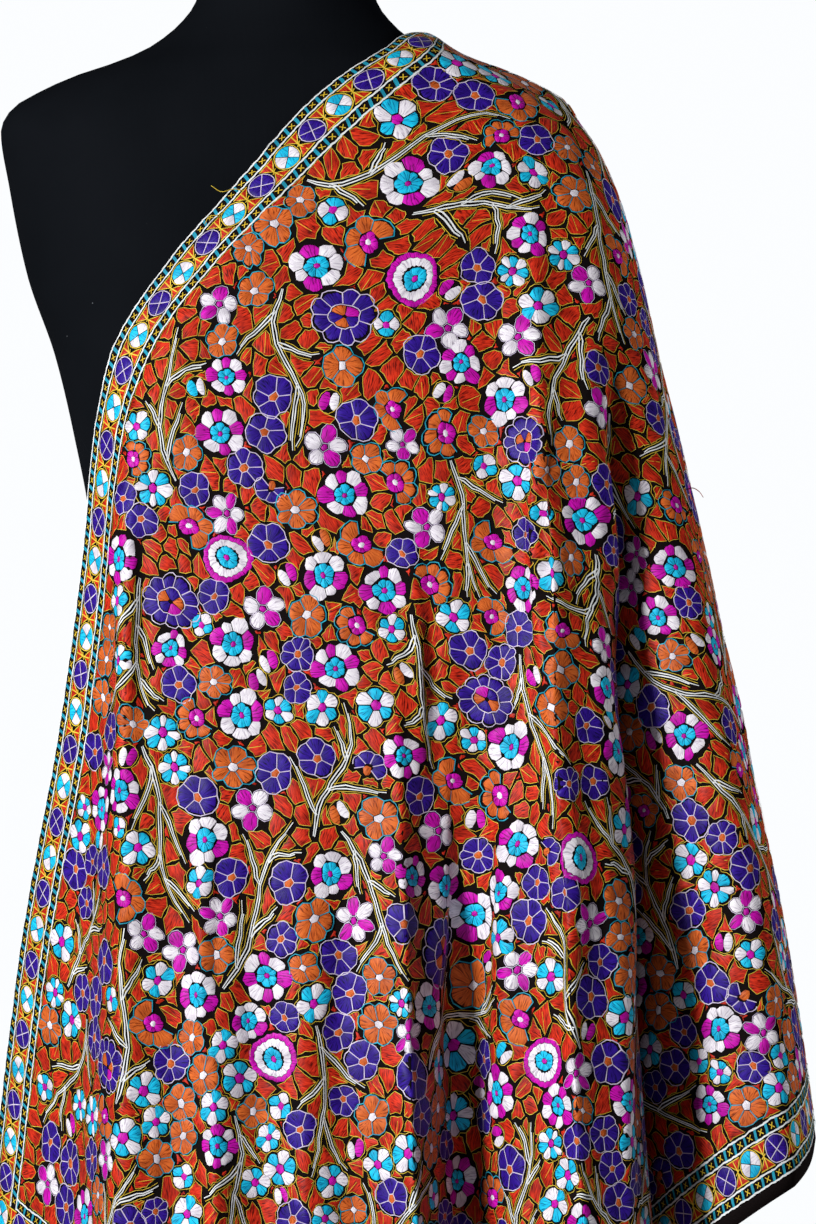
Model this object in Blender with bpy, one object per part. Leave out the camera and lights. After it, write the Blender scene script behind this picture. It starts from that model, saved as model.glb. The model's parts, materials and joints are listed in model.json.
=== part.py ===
"""Embroidered shawl laid over one shoulder of a limbless dress form on a pole and base.

Metres, +Z up, the form facing -Y. The origin is the centre of the base's underside.
The shawl is a fan of cloth round its neck point: each column is a straight line on the
flat cloth from the neck point to the hem, and its folds grow downward along it.
"""
import math

import bmesh
import bpy
import numpy as np

# Cloth as it was cut
CLOTH_WIDTH = 0.775         # from the inner long edge to the outer one
CLOTH_HALF_LENGTH = 0.93    # from the shoulder to either short end
CLOTH_WALL = 0.002          # wool ground with dense silk stitching

# Heights and seats
NECK_POINT = 1.330          # where the inner edge crosses the shoulder, above the floor
SEAT_GAP = 0.0003           # between pieces that touch
REST_OUT = 0.0041           # cloth's outer face stands this far outside the form
REST_RAISE = 0.0040         # and this far above it, on the sloping shoulder

# Stand
FORM_BOTTOM = 0.700         # the form's underside, below the neck point
POLE_RADIUS = 0.0125
HUB_RADIUS = 0.024
HUB_HEIGHT = 0.060
BASE_RADIUS = 0.170
BASE_HEIGHT = 0.012
BASE_CHAMFER = 0.003

# How finely the solids are cut
FOLD_STEPS = (0.0, 0.2, 0.5, 0.8)   # columns between a crest and a trough, closer at both
FAN_ROWS = 24
ROW_CROWDING = 1.35         # above 1, rows crowd towards the neck point
NECK_RAYS = 8               # the first row round the neck point has only so many steps
FOLD_ROWS_FROM = 5          # rows above this one have a column for each crest and trough only
FORM_SEGMENTS = 44
ROUND_SEGMENTS = 48
MITRE_LIMIT = 1.5           # the inner wall goes at most this much deeper at a crease
FINE_STEPS = 420            # samples used to measure lengths along the cloth
MOST_PUSH = 3.0             # cloth is moved out to at most this many times its distance
TINY = 1e-6

# The dress form's sections, by their drop below the neck point
FORM_COLUMNS = ("drop", "half_width", "front", "back", "squareness")
FORM_SECTIONS = (
    (-0.080, 0.0500, 0.046, 0.060, 2.0),
    (-0.050, 0.0525, 0.047, 0.060, 2.0),
    (-0.020, 0.0590, 0.050, 0.062, 2.0),
    (-0.006, 0.0690, 0.052, 0.064, 2.0),
    (0.000, 0.0755, 0.055, 0.066, 2.0),
    (0.010, 0.0895, 0.059, 0.069, 2.0),
    (0.019, 0.1090, 0.065, 0.072, 2.0),
    (0.029, 0.1390, 0.069, 0.076, 2.0),
    (0.041, 0.1650, 0.073, 0.080, 2.0),
    (0.050, 0.1790, 0.076, 0.083, 2.0),
    (0.064, 0.1855, 0.079, 0.087, 2.1),
    (0.100, 0.1800, 0.085, 0.096, 2.2),
    (0.158, 0.1680, 0.093, 0.104, 2.3),
    (0.210, 0.1500, 0.098, 0.105, 2.3),
    (0.260, 0.1380, 0.098, 0.101, 2.3),
    (0.320, 0.1270, 0.092, 0.092, 2.3),
    (0.385, 0.1220, 0.088, 0.084, 2.3),
    (0.450, 0.1360, 0.094, 0.092, 2.3),
    (0.520, 0.1530, 0.100, 0.106, 2.3),
    (0.590, 0.1640, 0.103, 0.114, 2.3),
    (0.650, 0.1660, 0.101, 0.112, 2.3),
    (0.700, 0.1640, 0.098, 0.106, 2.3),
)
BUST_X = 0.080
BUST_DROP = 0.262
BUST_RADIUS = 0.085
BUST_RISE = 0.032
CLOSE_FROM = 0.05           # this far under the form the cloth starts to close in again
CLOSE_OVER = 0.22           # and has closed in after this much more

# The cloth's smooth sections: inner edge, pressed fold, corner where it turns, and side
FRONT_COLUMNS = ("drop", "edge_x", "edge_y", "fold_x", "fold_y", "turn_x", "turn_y", "side_x", "side_y")
FRONT_SECTIONS = (
    (0.000, 0.088, 0.000, 0.088, 0.000, 0.088, 0.000, 0.088, 0.000),
    (0.012, 0.066, -0.050, 0.070, -0.051, 0.082, -0.050, 0.110, 0.004),
    (0.030, 0.040, -0.066, 0.052, -0.069, 0.097, -0.064, 0.148, 0.006),
    (0.055, 0.013, -0.079, 0.036, -0.081, 0.130, -0.070, 0.188, 0.006),
    (0.100, -0.025, -0.091, 0.004, -0.096, 0.172, -0.078, 0.214, 0.005),
    (0.160, -0.076, -0.098, -0.035, -0.110, 0.186, -0.092, 0.231, 0.000),
    (0.215, -0.109, -0.100, -0.070, -0.122, 0.192, -0.106, 0.243, -0.005),
    (0.260, -0.118, -0.100, -0.088, -0.130, 0.196, -0.118, 0.254, -0.010),
    (0.340, -0.126, -0.098, -0.096, -0.134, 0.204, -0.130, 0.271, -0.015),
    (0.450, -0.142, -0.080, -0.096, -0.139, 0.207, -0.142, 0.292, -0.020),
    (0.585, -0.169, -0.040, -0.096, -0.147, 0.215, -0.152, 0.319, -0.020),
    (0.700, -0.186, -0.005, -0.096, -0.153, 0.222, -0.158, 0.336, -0.020),
    (0.850, -0.203, 0.015, -0.098, -0.161, 0.234, -0.166, 0.352, -0.020),
    (1.350, -0.232, 0.045, -0.110, -0.182, 0.262, -0.186, 0.384, -0.020),
)
BACK_COLUMNS = ("drop", "turn_x", "turn_y", "fold_x", "fold_y", "edge_x", "edge_y")
BACK_SECTIONS = (
    (0.000, 0.088, 0.000, 0.088, 0.000, 0.088, 0.000),
    (0.012, 0.082, 0.058, 0.070, 0.060, 0.066, 0.060),
    (0.030, 0.097, 0.070, 0.056, 0.077, 0.044, 0.078),
    (0.055, 0.130, 0.078, 0.044, 0.088, 0.024, 0.090),
    (0.100, 0.168, 0.090, 0.020, 0.103, -0.004, 0.103),
    (0.160, 0.182, 0.104, -0.010, 0.113, -0.040, 0.110),
    (0.260, 0.196, 0.120, -0.045, 0.122, -0.080, 0.112),
    (0.450, 0.208, 0.140, -0.072, 0.134, -0.110, 0.112),
    (0.700, 0.222, 0.160, -0.092, 0.156, -0.140, 0.106),
    (1.350, 0.262, 0.190, -0.118, 0.188, -0.180, 0.096),
)
FOLD_PLACE = 0.20           # column of the pressed fold, of 1 from the inner edge to the side
TURN_PLACE = 0.76           # column where the front turns towards the side
BELLY = 0.006               # how far the front bows out between them
BELLY_FROM = 0.10           # from this drop downward
CORNER_ROUNDING = 0.03      # columns are averaged this far to each side
NORMAL_STEP = 0.004         # and their outward direction is read over this much

# Crests and troughs across the cloth, from the front inner edge (0) by the side (1) to the
# back inner edge (2). Out is how far the crest stands out at its full drop, and crease is
# 1 where it is pressed sharp and 0 where it rolls.
FOLD_COLUMNS = ("place", "out", "start_drop", "full_drop", "crease")
FOLDS = (
    (0.000, 0.000, 0.20, 0.60, 0.0),
    (0.100, -0.006, 0.25, 0.60, 0.0),
    (0.200, 0.008, 0.25, 0.60, 1.0),
    (0.252, -0.007, 0.38, 0.80, 0.0),
    (0.300, 0.008, 0.38, 0.85, 0.8),
    (0.348, -0.011, 0.36, 0.90, 0.0),
    (0.398, 0.004, 0.40, 0.90, 0.2),
    (0.446, -0.010, 0.42, 0.95, 0.0),
    (0.514, 0.014, 0.30, 0.75, 1.0),
    (0.572, -0.056, 0.32, 0.78, 0.0),
    (0.630, -0.004, 0.10, 0.45, 0.2),
    (0.690, 0.020, 0.05, 0.38, 1.0),
    (0.742, 0.004, 0.12, 0.50, 0.3),
    (0.806, -0.094, 0.14, 0.66, 0.0),
    (0.885, 0.014, 0.16, 0.60, 0.2),
    (0.965, 0.006, 0.20, 0.60, 0.0),
    (1.035, -0.046, 0.20, 0.72, 0.0),
    (1.105, 0.018, 0.14, 0.60, 0.3),
    (1.180, -0.068, 0.14, 0.66, 0.0),
    (1.260, 0.020, 0.12, 0.55, 0.4),
    (1.330, -0.066, 0.16, 0.70, 0.0),
    (1.400, 0.018, 0.15, 0.60, 0.3),
    (1.468, -0.070, 0.18, 0.72, 0.0),
    (1.545, 0.018, 0.14, 0.60, 0.5),
    (1.612, -0.062, 0.20, 0.74, 0.0),
    (1.680, 0.016, 0.18, 0.66, 0.3),
    (1.745, -0.058, 0.22, 0.76, 0.0),
    (1.815, 0.014, 0.20, 0.66, 0.5),
    (1.905, -0.020, 0.28, 0.80, 0.0),
    (2.000, 0.004, 0.28, 0.80, 0.0),
)
FOLD_SPREAD = 0.76          # a full fold deepens by this share for each further metre of drop
CREASE_SLOPE = 1.3          # how steeply a pressed crease leaves its crest
FAN_DROP = 0.56             # the drop where the fan's angles are read from the cloth's length
DEEPEST_DROP = 1.35         # the sections end below the lowest corner


def monotone(x, xs, ys):
    """Smooth interpolation through (xs, ys) that never overshoots."""
    xs = np.asarray(xs, float)
    ys = np.asarray(ys, float)
    step = np.diff(xs)
    rise = np.diff(ys) / step
    slope = np.empty(len(xs))
    slope[0], slope[-1] = rise[0], rise[-1]
    for i in range(1, len(xs) - 1):
        slope[i] = 0.0
        if rise[i - 1] * rise[i] > 0:
            before, after = 2 * step[i] + step[i - 1], step[i] + 2 * step[i - 1]
            slope[i] = (before + after) / (before / rise[i - 1] + after / rise[i])
    i = np.clip(np.searchsorted(xs, x) - 1, 0, len(xs) - 2)
    t = (x - xs[i]) / step[i]
    return (
        (2 * t**3 - 3 * t**2 + 1) * ys[i]
        + (t**3 - 2 * t**2 + t) * step[i] * slope[i]
        + (3 * t**2 - 2 * t**3) * ys[i + 1]
        + (t**3 - t**2) * step[i] * slope[i + 1]
    )


def ease(t):
    t = np.clip(t, 0.0, 1.0)
    return t * t * (3 - 2 * t)


def table_reader(columns, rows, warp):
    """A function (name, drop) that reads a table smoothly down its drops."""
    drops = warp(np.array([row[0] for row in rows]))

    def read(name, drop):
        values = [row[columns.index(name)] for row in rows]
        return monotone(warp(drop), drops, values)

    return read


form_at = table_reader(FORM_COLUMNS, FORM_SECTIONS, lambda drop: drop)
front_at = table_reader(FRONT_COLUMNS, FRONT_SECTIONS, lambda drop: np.sqrt(np.maximum(drop, 0)))
back_at = table_reader(BACK_COLUMNS, BACK_SECTIONS, lambda drop: np.sqrt(np.maximum(drop, 0)))


def form_depth(x, drop, facing_front):
    """How far the form reaches forward or back of its middle, at its widest there."""
    reach = np.hypot(np.abs(x) - BUST_X, drop - BUST_DROP) / BUST_RADIUS
    bust = BUST_RISE * np.cos(np.minimum(reach, 1.0) * math.pi / 2) ** 2
    return np.where(facing_front, form_at("front", drop) + bust, form_at("back", drop))


def stand_off_form(x, y, drop):
    """Moves points of the cloth out until they lie on the form, not in it."""
    level = np.minimum(drop + REST_RAISE, FORM_BOTTOM)
    shrink = 1 - ease((drop - FORM_BOTTOM - CLOSE_FROM) / CLOSE_OVER)
    wide = (form_at("half_width", level) + REST_OUT) * shrink + TINY
    deep = (form_depth(x, level, y < 0) + REST_OUT) * shrink + TINY
    power = form_at("squareness", level)
    inside = ((np.abs(x) / wide) ** power + (np.abs(y) / deep) ** power) ** (1 / power)
    push = 1 / np.clip(inside, 1 / MOST_PUSH, 1.0)
    return x * push, y * push


def smooth_section(place, drop):
    """The section without folds: inner edge, pressed fold, turn, side, and the same behind."""
    front = {name: front_at(name, drop) for name in FRONT_COLUMNS[1:]}
    back = {name: back_at(name, drop) for name in BACK_COLUMNS[1:]}
    back["side_x"], back["side_y"] = front["side_x"], front["side_y"]
    x = np.zeros_like(drop)
    y = np.zeros_like(drop)
    for half, near, sign in ((front, place, -1), (back, 2 - place, 1)):
        here = (place <= 1) if sign < 0 else (place > 1)
        flap = np.clip(near / FOLD_PLACE, 0, 1)
        face = np.clip((near - FOLD_PLACE) / (TURN_PLACE - FOLD_PLACE), 0, 1)
        turn = np.clip((near - TURN_PLACE) / (1 - TURN_PLACE), 0, 1) * math.pi / 2
        flat_x = half["edge_x"] + (half["fold_x"] - half["edge_x"]) * flap
        flat_y = half["edge_y"] + (half["fold_y"] - half["edge_y"]) * flap
        flat_x = flat_x + (half["turn_x"] - half["fold_x"]) * face
        flat_y = flat_y + (half["turn_y"] - half["fold_y"]) * face
        flat_y = flat_y + sign * BELLY * np.sin(math.pi * face) * ease(drop / BELLY_FROM)
        round_x = (half["side_x"] - half["turn_x"]) * np.sin(turn)
        round_y = (half["side_y"] - half["turn_y"]) * (1 - np.cos(turn))
        x = np.where(here, flat_x + round_x, x)
        y = np.where(here, flat_y + round_y, y)
    return x, y


def fold_height(place, drop):
    """How far the folds stand out of the smooth section."""
    knots = np.array([fold[0] for fold in FOLDS])
    crests = []
    for _, out, start, full, _ in FOLDS:
        grown = ease((drop - start) / (full - start))
        crests.append(out * (grown + FOLD_SPREAD * np.maximum(drop - full, 0)))
    crests = np.array(crests)
    slopes = CREASE_SLOPE * np.array([fold[4] for fold in FOLDS])
    i = np.clip(np.searchsorted(knots, place, side="right") - 1, 0, len(knots) - 2)
    t = np.clip((place - knots[i]) / (knots[i + 1] - knots[i]), 0, 1)
    blend = (
        (t**3 - 2 * t**2 + t) * slopes[i]
        + (3 * t**2 - 2 * t**3)
        + (t**3 - t**2) * slopes[i + 1]
    )
    low = np.take_along_axis(crests, i[None], axis=0)[0]
    high = np.take_along_axis(crests, i[None] + 1, axis=0)[0]
    return low + (high - low) * blend


def cloth_point(place, drop):
    """The cloth's outer face: x, y at a column and a drop, given as equal arrays."""
    x = np.zeros_like(drop)
    y = np.zeros_like(drop)
    reach = CORNER_ROUNDING * np.clip(np.minimum(place, 2 - place) / CORNER_ROUNDING, 0, 1)
    for side, share in ((-1, 0.25), (0, 0.5), (1, 0.25)):
        part_x, part_y = smooth_section(place + side * reach, drop)
        x = x + share * part_x
        y = y + share * part_y
    ahead = smooth_section(np.minimum(place + NORMAL_STEP, 2), drop)
    behind = smooth_section(np.maximum(place - NORMAL_STEP, 0), drop)
    along_x, along_y = ahead[0] - behind[0], ahead[1] - behind[1]
    length = np.hypot(along_x, along_y) + TINY
    height = fold_height(place, drop)
    x = x + height * along_y / length
    y = y - height * along_x / length
    return stand_off_form(x, y, drop)


def fan_angles(places):
    """The angle on the flat cloth between the inner edge and each column."""
    fine = np.linspace(0, 2, FINE_STEPS)
    x, y = cloth_point(fine, np.full(FINE_STEPS, FAN_DROP))
    length = np.concatenate([[0], np.cumsum(np.hypot(np.diff(x), np.diff(y)))])
    return math.pi * np.interp(places, fine, length) / length[-1]


def hem_reach(angle):
    """Length of the straight line on the flat cloth from the neck point to the hem."""
    to_end = CLOTH_HALF_LENGTH / np.maximum(np.abs(np.cos(angle)), TINY)
    to_side = CLOTH_WIDTH / np.maximum(np.sin(angle), TINY)
    return np.minimum(to_end, to_side)


def fan_places():
    """The solids' columns: every crest and trough, the two corners, and steps between."""
    places = []
    for near, far in zip(FOLDS[:-1], FOLDS[1:]):
        places += [near[0] + (far[0] - near[0]) * step for step in FOLD_STEPS]
    places.append(FOLDS[-1][0])
    fine = np.linspace(0, 2, FINE_STEPS)
    angles = fan_angles(fine)
    corner = math.atan2(CLOTH_WIDTH, CLOTH_HALF_LENGTH)
    for angle in (corner, math.pi - corner):
        exact = float(np.interp(angle, angles, fine))
        nearest = min(range(1, len(places) - 1), key=lambda k: abs(places[k] - exact))
        places[nearest] = exact
    return np.array(places)


def fan_grid(places, rows):
    """Points of the cloth, rows by columns, spaced along each column's own length."""
    drops = DEEPEST_DROP * np.linspace(0, 1, FINE_STEPS) ** 2
    place = np.broadcast_to(places, (FINE_STEPS, len(places)))
    drop = np.broadcast_to(drops[:, None], place.shape)
    x, y = cloth_point(place, drop)
    step = np.sqrt(np.diff(x, axis=0) ** 2 + np.diff(y, axis=0) ** 2 + np.diff(drop, axis=0) ** 2)
    run = np.concatenate([np.zeros((1, len(places))), np.cumsum(step, axis=0)])
    reach = hem_reach(fan_angles(places))
    share = np.linspace(0, 1, rows + 1) ** ROW_CROWDING
    grid = np.empty((rows + 1, len(places), 3))
    for k in range(len(places)):
        wanted = share * reach[k]
        grid[:, k, 0] = np.interp(wanted, run[:, k], x[:, k])
        grid[:, k, 1] = np.interp(wanted, run[:, k], y[:, k])
        grid[:, k, 2] = NECK_POINT - np.interp(wanted, run[:, k], drops)
    return grid


def material(name, colour, roughness, metallic=0.0):
    new = bpy.data.materials.new(name)
    new.use_nodes = True
    shader = new.node_tree.nodes["Principled BSDF"]
    shader.inputs["Base Color"].default_value = (*colour, 1.0)
    shader.inputs["Roughness"].default_value = roughness
    shader.inputs["Metallic"].default_value = metallic
    return new


def finish(name, bm, look):
    """Turns the faces outward and makes the object."""
    bmesh.ops.recalc_face_normals(bm, faces=bm.faces)
    mesh = bpy.data.meshes.new(name)
    bm.to_mesh(mesh)
    bm.free()
    mesh.shade_smooth()
    mesh.materials.append(look)
    piece = bpy.data.objects.new(name, mesh)
    bpy.context.scene.collection.objects.link(piece)
    return piece


def row_columns(row, count):
    """Which of the count columns a row has: few near the neck point, all further down."""
    steps = len(FOLD_STEPS)
    folds = (count - 1) // steps
    if row == 1:
        return [round(folds * k / NECK_RAYS) * steps for k in range(NECK_RAYS + 1)]
    if row < FOLD_ROWS_FROM:
        return list(range(0, count, steps))
    return list(range(count))


def stitch(bm, upper, lower):
    """Triangles between two rows, given as {column: vertex}; the lower has every upper column."""
    columns = sorted(upper)
    for near, far in zip(columns[:-1], columns[1:]):
        below = [k for k in sorted(lower) if near <= k <= far]
        falling = (upper[near].co - lower[far].co).length
        rising = (upper[far].co - lower[near].co).length
        middle = below[len(below) // 2 if falling < rising else (len(below) - 1) // 2]
        for first, second in zip(below[:-1], below[1:]):
            corner = near if second <= middle else far
            bm.faces.new((upper[corner], lower[first], lower[second]))
        bm.faces.new((upper[near], lower[middle], upper[far]))


def add_inner_wall(bm, guides):
    """Gives an open skin its wall: a copy set inward, and a rim all round.

    A vertex in guides is set inward in the direction of the one it names.
    """
    bm.normal_update()
    outer = list(bm.verts)
    skin = list(bm.faces)
    rim = [(edge.verts[0], edge.verts[1], edge.link_loops[0].vert) for edge in bm.edges if edge.is_boundary]
    inner = {}
    for vert in outer:
        guide = guides.get(vert, vert)
        depth = CLOTH_WALL * min(guide.calc_shell_factor(), MITRE_LIMIT)
        inner[vert] = bm.verts.new(vert.co - guide.normal * depth)
    for face in skin:
        bm.faces.new([inner[vert] for vert in reversed(face.verts)])
    for one, other, start in rim:
        first, second = (one, other) if start is one else (other, one)
        bm.faces.new((first, inner[first], second))
        bm.faces.new((second, inner[first], inner[second]))


def make_shawl():
    places = fan_places()
    grid = fan_grid(places, FAN_ROWS)
    bm = bmesh.new()
    neck = bm.verts.new(grid[0, 0])
    rows = []
    for row in range(1, FAN_ROWS + 1):
        rows.append({k: bm.verts.new(grid[row, k]) for k in row_columns(row, len(places))})
    first = list(rows[0].values())
    for near, far in zip(first[:-1], first[1:]):
        bm.faces.new((neck, near, far))
    for upper, lower in zip(rows[:-1], rows[1:]):
        stitch(bm, upper, lower)
    add_inner_wall(bm, {rows[-1][k]: rows[-2][k] for k in rows[-1]})
    return finish("shawl", bm, material("embroidered_wool", (0.35, 0.06, 0.05), 0.6))


def make_form():
    """The torso with its neck: rings of the form's sections, closed flat above and below."""
    drops = []
    for above, below in zip(FORM_SECTIONS[:-1], FORM_SECTIONS[1:]):
        parts = 2 if below[0] - above[0] > 0.045 else 1
        drops += [above[0] + (below[0] - above[0]) * k / parts for k in range(parts)]
    drops.append(FORM_SECTIONS[-1][0])
    turn = np.linspace(0, 2 * math.pi, FORM_SEGMENTS, endpoint=False)
    bm = bmesh.new()
    rings = []
    for drop in drops:
        power = 2 / form_at("squareness", drop)
        cos, sin = np.cos(turn), np.sin(turn)
        x = form_at("half_width", drop) * np.sign(cos) * np.abs(cos) ** power
        y = form_depth(x, drop, sin < 0) * np.sign(sin) * np.abs(sin) ** power
        rings.append([bm.verts.new((px, py, NECK_POINT - drop)) for px, py in zip(x, y)])
    for upper, lower in zip(rings[:-1], rings[1:]):
        for k in range(FORM_SEGMENTS):
            after = (k + 1) % FORM_SEGMENTS
            bm.faces.new((upper[k], lower[k], lower[after], upper[after]))
    bm.faces.new(rings[0])
    bm.faces.new(reversed(rings[-1]))
    bmesh.ops.triangulate(bm, faces=bm.faces)
    return finish("dress_form", bm, material("form_cloth", (0.012, 0.013, 0.016), 0.85))


def turned(name, profile, look):
    """A solid turned round the upright axis from (radius, height) points, bottom to top."""
    bm = bmesh.new()
    verts = [bm.verts.new((radius, 0, height)) for radius, height in profile]
    edges = [bm.edges.new(pair) for pair in zip(verts[:-1], verts[1:])]
    bmesh.ops.spin(
        bm, geom=verts + edges, cent=(0, 0, 0), axis=(0, 0, 1),
        angle=2 * math.pi, steps=ROUND_SEGMENTS, use_merge=True,
    )
    bmesh.ops.remove_doubles(bm, verts=bm.verts, dist=TINY)
    piece = finish(name, bm, look)
    piece.data.set_sharp_from_angle(angle=math.radians(30))
    return piece


def make_stand():
    steel = material("stand_steel", (0.02, 0.02, 0.022), 0.45, 0.6)
    hub_top = BASE_HEIGHT + HUB_HEIGHT
    turned("base", (
        (0, 0),
        (BASE_RADIUS - BASE_CHAMFER, 0),
        (BASE_RADIUS, BASE_CHAMFER),
        (BASE_RADIUS, BASE_HEIGHT - BASE_CHAMFER),
        (BASE_RADIUS - BASE_CHAMFER, BASE_HEIGHT),
        (HUB_RADIUS, BASE_HEIGHT),
        (HUB_RADIUS, hub_top - BASE_CHAMFER),
        (HUB_RADIUS - BASE_CHAMFER, hub_top),
        (0, hub_top),
    ), steel)
    pole_foot = hub_top + SEAT_GAP
    pole_top = NECK_POINT - FORM_BOTTOM - SEAT_GAP
    turned("pole", (
        (0, pole_foot),
        (POLE_RADIUS, pole_foot),
        (POLE_RADIUS, pole_top),
        (0, pole_top),
    ), steel)


def main():
    for old in list(bpy.data.objects):
        bpy.data.objects.remove(old, do_unlink=True)
    make_shawl()
    make_form()
    make_stand()


main()
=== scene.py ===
import json
import math

import bmesh
import bpy
import numpy as np
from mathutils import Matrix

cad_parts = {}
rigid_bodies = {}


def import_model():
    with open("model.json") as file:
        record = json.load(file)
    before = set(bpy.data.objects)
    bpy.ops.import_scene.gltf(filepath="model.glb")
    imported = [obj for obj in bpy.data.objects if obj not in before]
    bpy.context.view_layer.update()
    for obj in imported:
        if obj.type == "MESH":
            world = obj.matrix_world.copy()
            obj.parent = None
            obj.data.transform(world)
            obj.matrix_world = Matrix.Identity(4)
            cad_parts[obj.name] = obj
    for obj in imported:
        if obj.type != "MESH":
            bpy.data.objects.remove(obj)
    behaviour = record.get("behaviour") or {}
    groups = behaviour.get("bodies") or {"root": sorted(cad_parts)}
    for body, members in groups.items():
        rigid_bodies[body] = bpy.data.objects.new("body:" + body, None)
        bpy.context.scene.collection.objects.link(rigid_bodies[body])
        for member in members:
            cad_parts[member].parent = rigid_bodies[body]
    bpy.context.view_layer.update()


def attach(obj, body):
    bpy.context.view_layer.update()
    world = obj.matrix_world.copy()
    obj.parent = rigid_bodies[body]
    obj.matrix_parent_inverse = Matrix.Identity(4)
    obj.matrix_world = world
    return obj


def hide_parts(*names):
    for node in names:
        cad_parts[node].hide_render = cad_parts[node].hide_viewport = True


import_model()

tiny = 1e-6

# What a user would change: the view, which is the photo's own
photoView = {
    "widthPx": 816,
    "heightPx": 1224,
    "metresPerPixel": 0.00065,  # at the middle of the form
    "middleX": 0.079,
    "middleZ": 0.954,
    "distance": 3.0,
    "sensor": 36.0,  # mm, upright
    "searchPx": 14,  # how far from a named pixel the cloth is looked for
    "searchDepth": 0.02,  # and how far behind the foremost cloth there
}


def makeCamera():
    view = photoView
    data = bpy.data.cameras.new("photoCamera")
    data.sensor_fit = "VERTICAL"
    data.sensor_height = view["sensor"]
    tall = view["heightPx"] * view["metresPerPixel"]
    data.lens = view["sensor"] * view["distance"] / tall
    camera = bpy.data.objects.new("photoCamera", data)
    camera.location = (view["middleX"], -view["distance"], view["middleZ"])
    camera.rotation_euler = (math.pi / 2, 0, 0)
    bpy.context.scene.collection.objects.link(camera)
    bpy.context.scene.camera = camera


makeCamera()
print("camera placed")

# The cloth's cut and how it falls, as in the solids
cloth = {
    "width": 0.775,
    "halfLength": 0.93,
    "neckHeight": 1.330,
    "restOut": 0.0041,
    "restRaise": 0.0040,
    "formBottom": 0.700,
    "sinkGround": 0.00035,  # the wool lies this far under the stitches' own surface
    "wall": 0.0011,
    "columnSteps": 14,  # between a crest and a trough
    "rows": 100,
    "rowCrowding": 1.2,
}

# The form's sections, from its neck down
formColumns = ("drop", "halfWidth", "front", "back", "squareness")
formSections = (
    (-0.080, 0.0500, 0.046, 0.060, 2.0),
    (-0.050, 0.0525, 0.047, 0.060, 2.0),
    (-0.020, 0.0590, 0.050, 0.062, 2.0),
    (-0.006, 0.0690, 0.052, 0.064, 2.0),
    (0.000, 0.0755, 0.055, 0.066, 2.0),
    (0.010, 0.0895, 0.059, 0.069, 2.0),
    (0.019, 0.1090, 0.065, 0.072, 2.0),
    (0.029, 0.1390, 0.069, 0.076, 2.0),
    (0.041, 0.1650, 0.073, 0.080, 2.0),
    (0.050, 0.1790, 0.076, 0.083, 2.0),
    (0.064, 0.1855, 0.079, 0.087, 2.1),
    (0.100, 0.1800, 0.085, 0.096, 2.2),
    (0.158, 0.1680, 0.093, 0.104, 2.3),
    (0.210, 0.1500, 0.098, 0.105, 2.3),
    (0.260, 0.1380, 0.098, 0.101, 2.3),
    (0.320, 0.1270, 0.092, 0.092, 2.3),
    (0.385, 0.1220, 0.088, 0.084, 2.3),
    (0.450, 0.1360, 0.094, 0.092, 2.3),
    (0.520, 0.1530, 0.100, 0.106, 2.3),
    (0.590, 0.1640, 0.103, 0.114, 2.3),
    (0.650, 0.1660, 0.101, 0.112, 2.3),
    (0.700, 0.1640, 0.098, 0.106, 2.3),
)
bust = {"x": 0.080, "drop": 0.262, "radius": 0.085, "rise": 0.032}
closing = {"from": 0.05, "over": 0.22}  # under the form the cloth closes in again

# The cloth's smooth sections by their drop: inner edge, pressed fold, turn and side
frontColumns = ("drop", "edgeX", "edgeY", "foldX", "foldY", "turnX", "turnY", "sideX", "sideY")
frontSections = (
    (0.000, 0.088, 0.000, 0.088, 0.000, 0.088, 0.000, 0.088, 0.000),
    (0.012, 0.066, -0.050, 0.070, -0.051, 0.082, -0.050, 0.110, 0.004),
    (0.030, 0.040, -0.066, 0.052, -0.069, 0.097, -0.064, 0.148, 0.006),
    (0.055, 0.013, -0.079, 0.036, -0.081, 0.130, -0.070, 0.188, 0.006),
    (0.100, -0.025, -0.091, 0.004, -0.096, 0.172, -0.078, 0.214, 0.005),
    (0.160, -0.076, -0.098, -0.035, -0.110, 0.186, -0.092, 0.231, 0.000),
    (0.215, -0.109, -0.100, -0.070, -0.122, 0.192, -0.106, 0.243, -0.005),
    (0.260, -0.118, -0.100, -0.088, -0.130, 0.196, -0.118, 0.254, -0.010),
    (0.340, -0.126, -0.098, -0.096, -0.134, 0.204, -0.130, 0.271, -0.015),
    (0.450, -0.142, -0.080, -0.096, -0.139, 0.207, -0.142, 0.292, -0.020),
    (0.585, -0.169, -0.040, -0.096, -0.147, 0.215, -0.152, 0.319, -0.020),
    (0.700, -0.186, -0.005, -0.096, -0.153, 0.222, -0.158, 0.336, -0.020),
    (0.850, -0.203, 0.015, -0.098, -0.161, 0.234, -0.166, 0.352, -0.020),
    (1.350, -0.232, 0.045, -0.110, -0.182, 0.262, -0.186, 0.384, -0.020),
)
backColumns = ("drop", "turnX", "turnY", "foldX", "foldY", "edgeX", "edgeY")
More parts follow.
